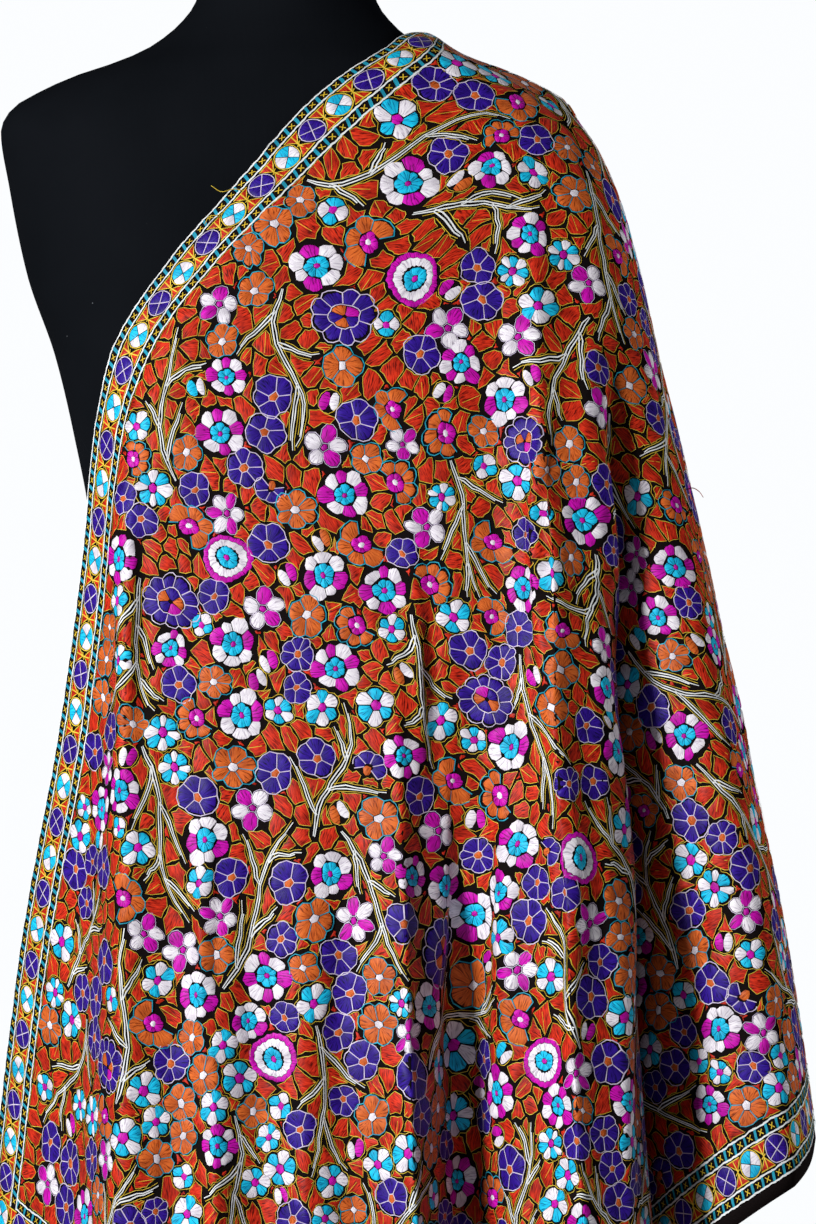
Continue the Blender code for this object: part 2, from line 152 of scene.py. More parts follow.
backSections = (
    (0.000, 0.088, 0.000, 0.088, 0.000, 0.088, 0.000),
    (0.012, 0.082, 0.058, 0.070, 0.060, 0.066, 0.060),
    (0.030, 0.097, 0.070, 0.056, 0.077, 0.044, 0.078),
    (0.055, 0.130, 0.078, 0.044, 0.088, 0.024, 0.090),
    (0.100, 0.168, 0.090, 0.020, 0.103, -0.004, 0.103),
    (0.160, 0.182, 0.104, -0.010, 0.113, -0.040, 0.110),
    (0.260, 0.196, 0.120, -0.045, 0.122, -0.080, 0.112),
    (0.450, 0.208, 0.140, -0.072, 0.134, -0.110, 0.112),
    (0.700, 0.222, 0.160, -0.092, 0.156, -0.140, 0.106),
    (1.350, 0.262, 0.190, -0.118, 0.188, -0.180, 0.096),
)
section = {
    "foldPlace": 0.20,
    "turnPlace": 0.76,
    "belly": 0.006,
    "bellyFrom": 0.10,
    "rounding": 0.03,
    "normalStep": 0.004,
}

# Crests and troughs across the cloth: place (0 is the front inner edge, 1 the side, 2 the back edge),
# how far out, the drops where it starts and is full, and how sharp its crease is
folds = (
    (0.000, 0.000, 0.20, 0.60, 0.0),
    (0.100, -0.006, 0.25, 0.60, 0.0),
    (0.200, 0.008, 0.25, 0.60, 1.0),
    (0.252, -0.007, 0.38, 0.80, 0.0),
    (0.300, 0.008, 0.38, 0.85, 0.8),
    (0.348, -0.011, 0.36, 0.90, 0.0),
    (0.398, 0.004, 0.40, 0.90, 0.2),
    (0.446, -0.010, 0.42, 0.95, 0.0),
    (0.514, 0.014, 0.30, 0.75, 1.0),
    (0.572, -0.056, 0.32, 0.78, 0.0),
    (0.630, -0.004, 0.10, 0.45, 0.2),
    (0.690, 0.020, 0.05, 0.38, 1.0),
    (0.742, 0.004, 0.12, 0.50, 0.3),
    (0.806, -0.094, 0.14, 0.66, 0.0),
    (0.885, 0.014, 0.16, 0.60, 0.2),
    (0.965, 0.006, 0.20, 0.60, 0.0),
    (1.035, -0.046, 0.20, 0.72, 0.0),
    (1.105, 0.018, 0.14, 0.60, 0.3),
    (1.180, -0.068, 0.14, 0.66, 0.0),
    (1.260, 0.020, 0.12, 0.55, 0.4),
    (1.330, -0.066, 0.16, 0.70, 0.0),
    (1.400, 0.018, 0.15, 0.60, 0.3),
    (1.468, -0.070, 0.18, 0.72, 0.0),
    (1.545, 0.018, 0.14, 0.60, 0.5),
    (1.612, -0.062, 0.20, 0.74, 0.0),
    (1.680, 0.016, 0.18, 0.66, 0.3),
    (1.745, -0.058, 0.22, 0.76, 0.0),
    (1.815, 0.014, 0.20, 0.66, 0.5),
    (1.905, -0.020, 0.28, 0.80, 0.0),
    (2.000, 0.004, 0.28, 0.80, 0.0),
)
falling = {
    "spread": 0.76,
    "creaseSlope": 1.3,
    "fanDrop": 0.56,
    "evenFrom": 0.46,  # above this drop the pattern spreads evenly over the folds
    "evenTo": 0.66,  # and below this one it follows the columns
    "deepest": 1.35,
    "samples": 420,
    "mostPush": 3.0,
}

# Soft creases on the flat cloth: place along and across, the way it runs in degrees, length, breadth, depth
softCreases = (
    (0.10, 0.130, 62, 0.13, 0.010, 0.0012),
    (0.17, 0.190, 50, 0.16, 0.012, -0.0016),
    (0.26, 0.110, 20, 0.18, 0.009, 0.0010),
    (0.33, 0.230, 38, 0.22, 0.014, -0.0018),
    (0.47, 0.150, 14, 0.24, 0.010, 0.0014),
    (0.52, 0.290, 30, 0.17, 0.012, 0.0015),
    (0.63, 0.240, 22, 0.21, 0.009, -0.0013),
    (0.40, 0.420, 46, 0.20, 0.013, 0.0017),
    (0.24, 0.400, 60, 0.24, 0.011, -0.0014),
    (0.10, 0.520, 80, 0.26, 0.014, 0.0018),
    (0.02, 0.330, 90, 0.15, 0.010, -0.0012),
    (-0.09, 0.240, 112, 0.18, 0.012, 0.0016),
    (-0.16, 0.420, 108, 0.25, 0.013, -0.0018),
    (-0.30, 0.200, 146, 0.20, 0.011, 0.0014),
    (-0.36, 0.360, 134, 0.22, 0.014, -0.0016),
    (-0.52, 0.270, 152, 0.19, 0.010, 0.0013),
    (-0.61, 0.140, 166, 0.23, 0.012, -0.0015),
    (0.265, 0.337, 22, 0.27, 0.0055, 0.0052),
    (0.256, 0.343, 22, 0.25, 0.0050, -0.0032),
    (0.274, 0.331, 22, 0.23, 0.0050, -0.0030),
    (0.503, 0.078, 17, 0.24, 0.0080, 0.0045),
    (0.497, 0.094, 18, 0.23, 0.0070, -0.0030),
    (0.390, 0.276, 19, 0.21, 0.0060, 0.0038),
    (0.383, 0.287, 20, 0.20, 0.0060, -0.0036),
    (0.640, 0.203, 21, 0.25, 0.0060, 0.0036),
    (0.635, 0.212, 21, 0.24, 0.0060, -0.0032),
    (0.610, 0.305, 24, 0.27, 0.0110, -0.0040),
    (0.555, 0.405, 35, 0.26, 0.0120, -0.0060),
    (0.447, 0.455, 42, 0.26, 0.0060, 0.0036),
    (0.455, 0.447, 41, 0.24, 0.0060, -0.0026),
    (-0.270, 0.330, 128, 0.28, 0.0060, 0.0040),
    (-0.262, 0.338, 128, 0.25, 0.0060, -0.0032),
    (-0.480, 0.420, 142, 0.30, 0.0070, 0.0040),
    (-0.080, 0.460, 100, 0.26, 0.0060, 0.0036),
    (-0.560, 0.300, 154, 0.22, 0.0060, -0.0030),
    (0.156, 0.328, 47, 0.30, 0.0200, 0.0085),
    (0.150, 0.372, 54, 0.26, 0.0120, -0.0060),
    (0.291, 0.600, 60, 0.36, 0.0150, -0.0060),
    (0.511, 0.350, 26, 0.42, 0.0150, 0.0070),
    (0.497, 0.388, 33, 0.44, 0.0120, -0.0065),
    (0.489, 0.412, 38, 0.34, 0.0100, 0.0030),
    (0.412, 0.502, 40, 0.42, 0.0180, 0.0080),
)


def monotone(x, xs, ys):
    # Smooth interpolation that never overshoots
    xs = np.asarray(xs, float)
    ys = np.asarray(ys, float)
    step = np.diff(xs)
    rise = np.diff(ys) / step
    slope = np.empty(len(xs))
    slope[0], slope[-1] = rise[0], rise[-1]
    for i in range(1, len(xs) - 1):
        slope[i] = 0.0
        if rise[i - 1] * rise[i] > 0:
            before, after = 2 * step[i] + step[i - 1], step[i] + 2 * step[i - 1]
            slope[i] = (before + after) / (before / rise[i - 1] + after / rise[i])
    i = np.clip(np.searchsorted(xs, x) - 1, 0, len(xs) - 2)
    t = (x - xs[i]) / step[i]
    return (
        (2 * t**3 - 3 * t**2 + 1) * ys[i]
        + (t**3 - 2 * t**2 + t) * step[i] * slope[i]
        + (3 * t**2 - 2 * t**3) * ys[i + 1]
        + (t**3 - t**2) * step[i] * slope[i + 1]
    )


def unit(ways, least=0.0):
    # Ways of length one
    return ways / (np.linalg.norm(ways, axis=-1, keepdims=True) + least)


def ease(t):
    t = np.clip(t, 0.0, 1.0)
    return t * t * (3 - 2 * t)


def tableReader(columns, rows, warp):
    drops = warp(np.array([row[0] for row in rows]))

    def read(name, drop):
        values = [row[columns.index(name)] for row in rows]
        return monotone(warp(drop), drops, values)

    return read


formAt = tableReader(formColumns, formSections, lambda drop: drop)
frontAt = tableReader(frontColumns, frontSections, lambda drop: np.sqrt(np.maximum(drop, 0)))
backAt = tableReader(backColumns, backSections, lambda drop: np.sqrt(np.maximum(drop, 0)))


def formDepth(x, drop, facingFront):
    reach = np.hypot(np.abs(x) - bust["x"], drop - bust["drop"]) / bust["radius"]
    rise = bust["rise"] * np.cos(np.minimum(reach, 1.0) * math.pi / 2) ** 2
    return np.where(facingFront, formAt("front", drop) + rise, formAt("back", drop))


def standOffForm(x, y, drop):
    # Moves the cloth's points out until they lie on the form
    level = np.minimum(drop + cloth["restRaise"], cloth["formBottom"])
    shrink = 1 - ease((drop - cloth["formBottom"] - closing["from"]) / closing["over"])
    wide = (formAt("halfWidth", level) + cloth["restOut"]) * shrink + tiny
    deep = (formDepth(x, level, y < 0) + cloth["restOut"]) * shrink + tiny
    power = formAt("squareness", level)
    inside = ((np.abs(x) / wide) ** power + (np.abs(y) / deep) ** power) ** (1 / power)
    push = 1 / np.clip(inside, 1 / falling["mostPush"], 1.0)
    return x * push, y * push


def smoothSection(place, drop):
    front = {name: frontAt(name, drop) for name in frontColumns[1:]}
    back = {name: backAt(name, drop) for name in backColumns[1:]}
    back["sideX"], back["sideY"] = front["sideX"], front["sideY"]
    x = np.zeros_like(drop)
    y = np.zeros_like(drop)
    foldPlace, turnPlace = section["foldPlace"], section["turnPlace"]
    for half, near, sign in ((front, place, -1), (back, 2 - place, 1)):
        here = (place <= 1) if sign < 0 else (place > 1)
        flap = np.clip(near / foldPlace, 0, 1)
        face = np.clip((near - foldPlace) / (turnPlace - foldPlace), 0, 1)
        turn = np.clip((near - turnPlace) / (1 - turnPlace), 0, 1) * math.pi / 2
        flatX, flatY = [
            half["edge" + axis]
            + (half["fold" + axis] - half["edge" + axis]) * flap
            + (half["turn" + axis] - half["fold" + axis]) * face
            for axis in "XY"
        ]
        flatY = flatY + sign * section["belly"] * np.sin(math.pi * face) * ease(drop / section["bellyFrom"])
        roundX = (half["sideX"] - half["turnX"]) * np.sin(turn)
        roundY = (half["sideY"] - half["turnY"]) * (1 - np.cos(turn))
        x = np.where(here, flatX + roundX, x)
        y = np.where(here, flatY + roundY, y)
    return x, y


def foldHeight(place, drop):
    knots = np.array([fold[0] for fold in folds])
    crests = []
    for _, out, start, full, _ in folds:
        grown = ease((drop - start) / (full - start))
        crests.append(out * (grown + falling["spread"] * np.maximum(drop - full, 0)))
    crests = np.array(crests)
    slopes = falling["creaseSlope"] * np.array([fold[4] for fold in folds])
    i = np.clip(np.searchsorted(knots, place, side="right") - 1, 0, len(knots) - 2)
    t = np.clip((place - knots[i]) / (knots[i + 1] - knots[i]), 0, 1)
    blend = (
        (t**3 - 2 * t**2 + t) * slopes[i]
        + (3 * t**2 - 2 * t**3)
        + (t**3 - t**2) * slopes[i + 1]
    )
    low = np.take_along_axis(crests, i[None], axis=0)[0]
    high = np.take_along_axis(crests, i[None] + 1, axis=0)[0]
    return low + (high - low) * blend


def clothPoint(place, drop):
    x, y = np.zeros_like(drop), np.zeros_like(drop)
    rounding = section["rounding"]
    reach = rounding * np.clip(np.minimum(place, 2 - place) / rounding, 0, 1)
    for side, share in ((-1, 0.25), (0, 0.5), (1, 0.25)):
        partX, partY = smoothSection(place + side * reach, drop)
        x = x + share * partX
        y = y + share * partY
    ahead = smoothSection(np.minimum(place + section["normalStep"], 2), drop)
    behind = smoothSection(np.maximum(place - section["normalStep"], 0), drop)
    alongX, alongY = ahead[0] - behind[0], ahead[1] - behind[1]
    length = np.hypot(alongX, alongY) + tiny
    height = foldHeight(place, drop)
    x = x + height * alongY / length
    y = y - height * alongX / length
    return standOffForm(x, y, drop)


def fanAngles(places):
    # The angle on the flat cloth between the inner edge and each column
    fine = np.linspace(0, 2, falling["samples"])
    x, y = clothPoint(fine, np.full(len(fine), falling["fanDrop"]))
    length = np.concatenate([[0], np.cumsum(np.hypot(np.diff(x), np.diff(y)))])
    return math.pi * np.interp(places, fine, length) / length[-1]


def hemReach(angle):
    toEnd = cloth["halfLength"] / np.maximum(np.abs(np.cos(angle)), tiny)
    toSide = cloth["width"] / np.maximum(np.sin(angle), tiny)
    return np.minimum(toEnd, toSide)


def fanPlaces():
    # Columns closer together at crests and troughs, with one on each corner
    steps = np.arange(cloth["columnSteps"]) / cloth["columnSteps"]
    steps = 0.45 * steps + 0.55 * (0.5 - 0.5 * np.cos(math.pi * steps))
    places = []
    for near, far in zip(folds[:-1], folds[1:]):
        places += list(near[0] + (far[0] - near[0]) * steps)
    places.append(folds[-1][0])
    fine = np.linspace(0, 2, falling["samples"])
    angles = fanAngles(fine)
    corner = math.atan2(cloth["width"], cloth["halfLength"])
    for angle in (corner, math.pi - corner):
        exact = float(np.interp(angle, angles, fine))
        nearest = min(range(1, len(places) - 1), key=lambda k: abs(places[k] - exact))
        places[nearest] = exact
    return np.array(places)


def creaseHeight(along, across):
    height = np.zeros_like(along)
    for alongAt, acrossAt, runs, length, breadth, out in softCreases:
        turn = math.radians(runs)
        lengthwise = (along - alongAt) * math.cos(turn) + (across - acrossAt) * math.sin(turn)
        sideways = (across - acrossAt) * math.cos(turn) - (along - alongAt) * math.sin(turn)
        fade = ease(1 - np.abs(lengthwise) / (length / 2))
        height = height + out * fade * np.exp(-((sideways / breadth) ** 2))
    return height


def drapeGrid():
    # Points of the cloth in space and on the flat cloth, rows by columns
    places = fanPlaces()
    samples, rows = falling["samples"], cloth["rows"]
    drops = falling["deepest"] * np.linspace(0, 1, samples) ** 2
    place = np.broadcast_to(places, (samples, len(places)))
    drop = np.broadcast_to(drops[:, None], place.shape)
    x, y = clothPoint(place, drop)
    step = np.sqrt(np.diff(x, axis=0) ** 2 + np.diff(y, axis=0) ** 2 + np.diff(drop, axis=0) ** 2)
    run = np.concatenate([np.zeros((1, len(places))), np.cumsum(step, axis=0)])
    angles = fanAngles(places)
    reach = hemReach(angles)
    share = np.linspace(0, 1, rows + 1) ** cloth["rowCrowding"]
    grid = np.empty((rows + 1, len(places), 3))
    for k in range(len(places)):
        wanted = share * reach[k]
        grid[:, k, 0] = np.interp(wanted, run[:, k], x[:, k])
        grid[:, k, 1] = np.interp(wanted, run[:, k], y[:, k])
        grid[:, k, 2] = cloth["neckHeight"] - np.interp(wanted, run[:, k], drops)
    return grid, flatPlaces(grid, x, y, drops, run, angles)


def flatPlaces(grid, x, y, drops, run, angles):
    # Where the grid's points lie on the flat cloth, so that it isn't stretched sideways anywhere
    across = np.hypot(np.diff(x, axis=1), np.diff(y, axis=1))
    across = np.concatenate([np.zeros((len(drops), 1)), np.cumsum(across, axis=1)], axis=1)
    share = across / (across[:, -1:] + tiny)
    share[0] = share[1]
    drop = cloth["neckHeight"] - grid[..., 2]
    start, end = falling["evenFrom"], falling["evenTo"]
    over = np.clip(drop - start, 0, end - start)
    level = np.minimum(drop, start) + over - over**2 / (2 * (end - start))
    angle = np.empty_like(drop)
    for k in range(len(angles)):
        angle[:, k] = math.pi * np.interp(level[:, k], drops, share[:, k])
    column = np.interp(angle, angles, np.arange(len(angles)))
    left = np.clip(column.astype(int), 0, len(angles) - 2)
    sample = np.interp(drop, drops, np.arange(len(drops)))
    upper = np.clip(sample.astype(int), 0, len(drops) - 2)
    right, down = column - left, sample - upper
    length = 0
    for i, vertical in ((0, 1 - down), (1, down)):
        for j, sideways in ((0, 1 - right), (1, right)):
            length = length + run[upper + i, left + j] * (vertical * sideways)
    return np.stack([length * np.cos(angle), length * np.sin(angle)], axis=-1)


def gridNormals(grid):
    down = np.gradient(grid, axis=0)
    across = np.gradient(grid, axis=1)
    across[0] = across[1]
    return unit(np.cross(down, across), tiny)


def skinMesh(name, grid, flat):
    # One open skin, with its place on the flat cloth as a UV map
    rows, columns = grid.shape[0] - 1, grid.shape[1]
    verts = [tuple(grid[0, 0])] + [tuple(point) for point in grid[1:].reshape(-1, 3)]
    places = np.concatenate([flat[0, :1], flat[1:].reshape(-1, 2)])

    def at(row, column):
        return 1 + (row - 1) * columns + column

    faces = [(0, at(1, k), at(1, k + 1)) for k in range(columns - 1)]
    for row in range(1, rows):
        for k in range(columns - 1):
            faces.append((at(row, k), at(row + 1, k), at(row + 1, k + 1), at(row, k + 1)))
    mesh = bpy.data.meshes.new(name)
    mesh.from_pydata(verts, [], faces)
    uv = (places + (cloth["halfLength"], 0)) / (2 * cloth["halfLength"], cloth["width"])
    setUv(mesh, "OFBake", uv)
    mesh.shade_smooth()
    return mesh


def setUv(mesh, name, perVertex):
    layer = mesh.uv_layers.new(name=name)
    corner = np.empty(len(mesh.loops), np.int32)
    mesh.loops.foreach_get("vertex_index", corner)
    layer.data.foreach_set("uv", np.asarray(perVertex)[corner].astype(np.float32).ravel())


def linkPiece(name, mesh):
    piece = bpy.data.objects.new(name, mesh)
    bpy.context.scene.collection.objects.link(piece)
    return piece


clothGrid, clothFlat = drapeGrid()
clothNormals = gridNormals(clothGrid)
clothGrid = clothGrid + clothNormals * creaseHeight(clothFlat[..., 0], clothFlat[..., 1])[..., None]
clothNormals = gridNormals(clothGrid)
if clothNormals[40, 60, 1] > 0:
    clothNormals = -clothNormals
print("cloth draped:", clothGrid.shape)

# Silk colours, linear, and how their threads lie: each colour is a thread's own, and each light is a painted
# sheen that single threads are streaked with
silk = {
    "purple": {"colour": (0.016, 0.003, 0.165), "light": (0.040, 0.010, 0.330)},
    "orange": {"colour": (0.500, 0.075, 0.010), "light": (0.800, 0.175, 0.030)},
    "turquoise": {"colour": (0.004, 0.380, 0.700), "light": (0.016, 0.680, 0.960)},
    "magenta": {"colour": (0.410, 0.002, 0.280), "light": (0.750, 0.007, 0.560)},
    "white": {"colour": (0.720, 0.650, 0.760), "light": (0.980, 0.950, 0.985)},
    "red": {"colour": (0.320, 0.008, 0.003), "light": (0.800, 0.040, 0.012)},
    "gold": {"colour": (0.760, 0.480, 0.020), "light": (0.980, 0.780, 0.110)},
    "teal": {"colour": (0.008, 0.240, 0.370), "light": (0.040, 0.520, 0.700)},
    "pale": {"colour": (0.560, 0.460, 0.680), "light": (0.860, 0.780, 0.920)},
    "cream": {"colour": (0.860, 0.890, 0.890), "light": (0.975, 0.985, 0.985)},
}
silkLook = {
    "threadWidth": 0.00085,
    "threadLength": 0.0070,
    "roughness": 0.48,
    "shine": 0.16,
    "sheen": 0.05,
    "sheenRoughness": 0.4,
    "bump": 0.6,
    "bumpDepth": 0.0003,
    "dyeScale": 95.0,
    "faded": 0.55,
    # Painted shade between the threads: how dark a colour is made there
    "shadeBetweenThreads": {"gold": 0.85, "teal": 0.85, "pale": 0.85, "cream": 0.85, "white": 0.6},
    "shadeBetweenDark": 0.3,
}


def newMaterial(name):
    look = bpy.data.materials.new(name)
    look.use_nodes = True
    return look, look.node_tree, look.node_tree.nodes["Principled BSDF"]


def setInputs(tree, node, inputs):
    # Each input takes a fixed value or another node's output
    for key, value in inputs.items():
        if isinstance(value, bpy.types.NodeSocket):
            tree.links.new(value, node.inputs[key])
        else:
            node.inputs[key].default_value = value


def addNode(tree, kind, output, inputs=None, **settings):
    # Adds a node and gives one of its outputs
    node = tree.nodes.new(kind)
    for key, value in settings.items():
        setattr(node, key, value)
    setInputs(tree, node, inputs or {})
    return node.outputs[output]


def mixColours(tree, factor, first, second):
    # A colour between two, each a colour or another node's output
    first, second = [(*value, 1.0) if isinstance(value, tuple) else value for value in (first, second)]
    return addNode(tree, "ShaderNodeMix", 2, {0: factor, 6: first, 7: second}, data_type="RGBA")


def ramp(tree, source, low, high):
    return addNode(tree, "ShaderNodeMapRange", "Result", {"Value": source, "From Min": low, "From Max": high})


def noise(tree, place, scale, detail, roughness=0.5):
    inputs = {"Vector": place, "Scale": scale, "Detail": detail, "Roughness": roughness}
    return addNode(tree, "ShaderNodeTexNoise", "Fac", inputs)


def bumped(tree, height, strength, depth):
    inputs = {"Height": height, "Strength": strength, "Distance": depth}
    return addNode(tree, "ShaderNodeBump", "Normal", inputs)


def uvPlace(tree, uvMap, scale):
    uv = addNode(tree, "ShaderNodeUVMap", "UV", uv_map=uvMap)
    return addNode(tree, "ShaderNodeMapping", "Vector", {"Vector": uv, "Scale": scale})


def dimmed(colour, share):
    return tuple(share * part for part in colour)


def silkMaterial(name, colours):
    look, tree, shader = newMaterial("silk_" + name)
    size = (1 / silkLook["threadWidth"], 1 / silkLook["threadLength"], 1)
    strands = noise(tree, uvPlace(tree, "threads", size), 1.0, 2.0, 0.6)
    dye = noise(tree, addNode(tree, "ShaderNodeTexCoord", "Object"), silkLook["dyeScale"], 1.0)
    colour = colours["colour"]
    # Painted sheen: single threads streak from their own colour up to its light colour, as if lit
    paintedSheenStreaks = mixColours(tree, ramp(tree, strands, 0.38, 0.62), colour, colours["light"])
    faded = mixColours(tree, ramp(tree, dye, 0.55, 0.30), paintedSheenStreaks, dimmed(colour, silkLook["faded"]))
    half = mixColours(tree, 0.5, paintedSheenStreaks, faded)
    # Painted shade: the colour is darkened in the gaps between threads
    deep = dimmed(colour, silkLook["shadeBetweenThreads"].get(name, silkLook["shadeBetweenDark"]))
    setInputs(tree, shader, {
        "Base Color": mixColours(tree, ramp(tree, strands, 0.44, 0.36), half, deep),
        "Normal": bumped(tree, strands, silkLook["bump"], silkLook["bumpDepth"]),
        "Roughness": silkLook["roughness"],
        "Specular IOR Level": silkLook["shine"],
        "Sheen Weight": silkLook["sheen"],
        "Sheen Roughness": silkLook["sheenRoughness"],
    })
    return look


# Sketches: what one motif has of each silk colour, in metres on the flat cloth
stitchWork = {
    "edgeHeight": 0.00010,
    "crown": 0.00055,
    "shoulder": 0.68,  # share of a patch inside its rounded rim
    "lineHeight": 0.00050,
    "fineLine": 0.00062,
    "goldLine": 0.00033,
    "chainLine": 0.00115,
    "lowLine": 0.0002,
    "pinwheelRim": 0.00032,
    "looseRim": 0.00038,
    "budRim": 0.00034,
    "wobble": 0.0026,  # a hand's unevenness and its wave length
    "wobbleLength": 0.011,
}
fromMiddle = ("round", (0.0, 0.0))  # threads that run out from a flower's middle


def newSketch():
    return {name: {"verts": [], "faces": [], "threads": [], "count": 0} for name in silk}


def addShape(sketch, colour, verts, faces, threads):
    part = sketch[colour]
    part["verts"].append(np.asarray(verts, float))
    part["threads"].append(np.asarray(threads, float))
    part["faces"] += [tuple(part["count"] + i for i in face) for face in faces]
    part["count"] += len(verts)


def grainOf(points, grain):
    # Coordinates across and along the threads, which run straight or out from a centre
    points = np.asarray(points)[:, :2]
    if grain[0] == "straight":
        turn = grain[1]
        across = points[:, 0] * -math.sin(turn) + points[:, 1] * math.cos(turn)
        along = points[:, 0] * math.cos(turn) + points[:, 1] * math.sin(turn)
        return np.stack([across, along], axis=-1)
    away = points - np.array(grain[1])
    radius = np.hypot(away[:, 0], away[:, 1])
    middle = away.mean(axis=0)
    axis = math.atan2(middle[1], middle[0])
    angle = np.arctan2(away[:, 1], away[:, 0]) - axis
    angle = (angle + math.pi) % (2 * math.pi) - math.pi
    return np.stack([(angle + axis) * radius.mean(), radius], axis=-1)


def fillPatch(sketch, colour, outline, grain, crown=None):
    # A stitched area: low at its outline, raised inside
    outline = np.asarray(outline, float)
    count = len(outline)
    crown = stitchWork["crown"] if crown is None else crown
    middle = outline.mean(axis=0)
    inner = middle + (outline - middle) * stitchWork["shoulder"]
    flat = np.concatenate([outline, inner, middle[None]])
    height = np.concatenate([
        np.full(count, stitchWork["edgeHeight"]),
        np.full(count, 0.85 * crown),
        [crown],
    ])
    faces = []
    for k in range(count):
        after = (k + 1) % count
        faces.append((k, after, count + after, count + k))
        faces.append((count + k, count + after, 2 * count))
    addShape(sketch, colour, np.column_stack([flat, height]), faces, grainOf(flat, grain))


def fillRing(sketch, colour, innerRadius, outerRadius, steps, serrated):
    # A ring of radial stitches, whose two rims are serrated
    turns = np.linspace(0, 2 * math.pi, steps + 1)
    teeth = serrated * np.where(np.arange(steps + 1) % 2 == 0, 1, -1)
    middle = (innerRadius + outerRadius) / 2 + 0 * teeth
    verts, threads = [], []
    for radius, high in ((innerRadius + teeth, 0.25), (middle, 1.0), (outerRadius + teeth, 0.25)):
        height = np.full(steps + 1, high * stitchWork["crown"])
        verts.append(np.column_stack([radius * np.cos(turns), radius * np.sin(turns), height]))
        threads.append(np.column_stack([turns * outerRadius, radius + 0 * turns]))
    faces = []
    wide = steps + 1
    for ring in (0, 1):
        for k in range(steps):
            near, far = ring * wide + k, (ring + 1) * wide + k
            faces.append((near, far, far + 1, near + 1))
    addShape(sketch, colour, np.concatenate(verts), faces, np.concatenate(threads))


def sewLine(sketch, colour, path, width, closed=False, height=None):
    # A couched thread along a path
    path = np.asarray(path, float)
    height = stitchWork["lineHeight"] if height is None else height
    if closed:
        before, after = np.roll(path, 1, axis=0), np.roll(path, -1, axis=0)
    else:
        before = np.concatenate([path[:1], path[:-1]])
        after = np.concatenate([path[1:], path[-1:]])
    along = unit(after - before, tiny)
    half = np.broadcast_to(np.asarray(width, float) / 2, (len(path),))
    side = np.column_stack([-along[:, 1], along[:, 0]]) * half[:, None]
    count = len(path)
    flat = np.concatenate([path + side, path - side])
    run = np.concatenate([[0], np.cumsum(np.linalg.norm(np.diff(path, axis=0), axis=1))])
    threads = np.column_stack([np.concatenate([half, -half]), np.tile(run, 2)])
    faces = []
    for k in range(count if closed else count - 1):
        ahead = (k + 1) % count
        faces.append((k, count + k, count + ahead, ahead))
    addShape(sketch, colour, np.column_stack([flat, np.full(2 * count, height)]), faces, threads)


def wedge(inner, outer, start, end, bulge=0.14, steps=5):
    # A petal between two angles, with a rounded outer end
    turns = np.linspace(end, start, steps)
    spread = 2 * (turns - start) / (end - start) - 1
    radius = outer * (1 - bulge * np.abs(spread) ** 2.5)
    rim = np.column_stack([radius * np.cos(turns), radius * np.sin(turns)])
    base = np.array([[math.cos(start), math.sin(start)], [math.cos(end), math.sin(end)]]) * inner
    return np.concatenate([base, rim])[::-1]


def shrinkPatch(outline, share):
    middle = outline.mean(axis=0)
    return middle + (outline - middle) * share


def oval(centre, length, breadth, turn, steps=10):
    turns = np.linspace(0, 2 * math.pi, steps, endpoint=False)
    x, y = length / 2 * np.cos(turns), breadth / 2 * np.sin(turns)
    cos, sin = math.cos(turn), math.sin(turn)
    return np.column_stack([centre[0] + x * cos - y * sin, centre[1] + x * sin + y * cos])


def counterClockwise(outline):
    x, y = outline[:, 0], outline[:, 1]
    area = np.sum(x * np.roll(y, -1) - np.roll(x, -1) * y)
    return outline if area > 0 else outline[::-1]


def petalTurns(petals, rng, start=0.0, sweep=2 * math.pi):
    # Where the petals meet, a little uneven
    turns = start + np.linspace(0, sweep, petals + 1)
    inside = slice(1, -1)
    turns[inside] += rng.uniform(-0.15, 0.15, petals - 1) * sweep / petals
    return turns


def ringOfPetals(sketch, colours, inner, outer, turns, rng, gap, bulge):
    # Wedges side by side, their colours in turn
    for k, (start, end) in enumerate(zip(turns[:-1], turns[1:])):
        reach = outer * rng.uniform(0.90, 1.04)
        outline = wedge(inner, reach, start, end, bulge, 6)
        outline = outline + rng.uniform(-0.028, 0.028, outline.shape) * outer
        outline = counterClockwise(shrinkPatch(outline, gap))
        fillPatch(sketch, colours[k % len(colours)], outline, fromMiddle)


def rimLine(radius, turns, bulge, steps=5):
    # The scalloped line round a ring of wedges
    points = []
    for start, end in zip(turns[:-1], turns[1:]):
        outline = wedge(0.0, radius, start, end, bulge, steps)[:steps]
        points.append(outline[:-1])
    return np.concatenate(points)


def sewSpokes(sketch, colour, turns, radii):
    # Fine straight lines out from the middle
    for turn in turns:
        path = [(radius * math.cos(turn), radius * math.sin(turn)) for radius in radii]
        sewLine(sketch, colour, path, stitchWork["fineLine"])


def sewLowRim(sketch, colour, outline, width):
    # A closed line that lies under the petals
    sewLine(sketch, colour, outline, stitchWork[width], True, stitchWork["lowLine"])


def fillHeart(sketch, colour, length, breadth, corners):
    # The small patch in a flower's middle
    fillPatch(sketch, colour, oval((0, 0), length, breadth, 0, corners), fromMiddle)


def outlinedRing(sketch, colour, lineColour, rng, size, turns, inner, bulge, spokes, closed=False):
    # Petals of one colour with a fine scalloped rim and a line between each two
    ringOfPetals(sketch, (colour,), inner * size, size, turns, rng, 0.97, bulge)
    rim = 1.03 if closed else 1.04
    sewLine(sketch, lineColour, rimLine(rim * size, turns, bulge), stitchWork["fineLine"], closed)
    sewSpokes(sketch, lineColour, turns[:-1] if closed else turns, (spokes[0] * size, spokes[1] * size))


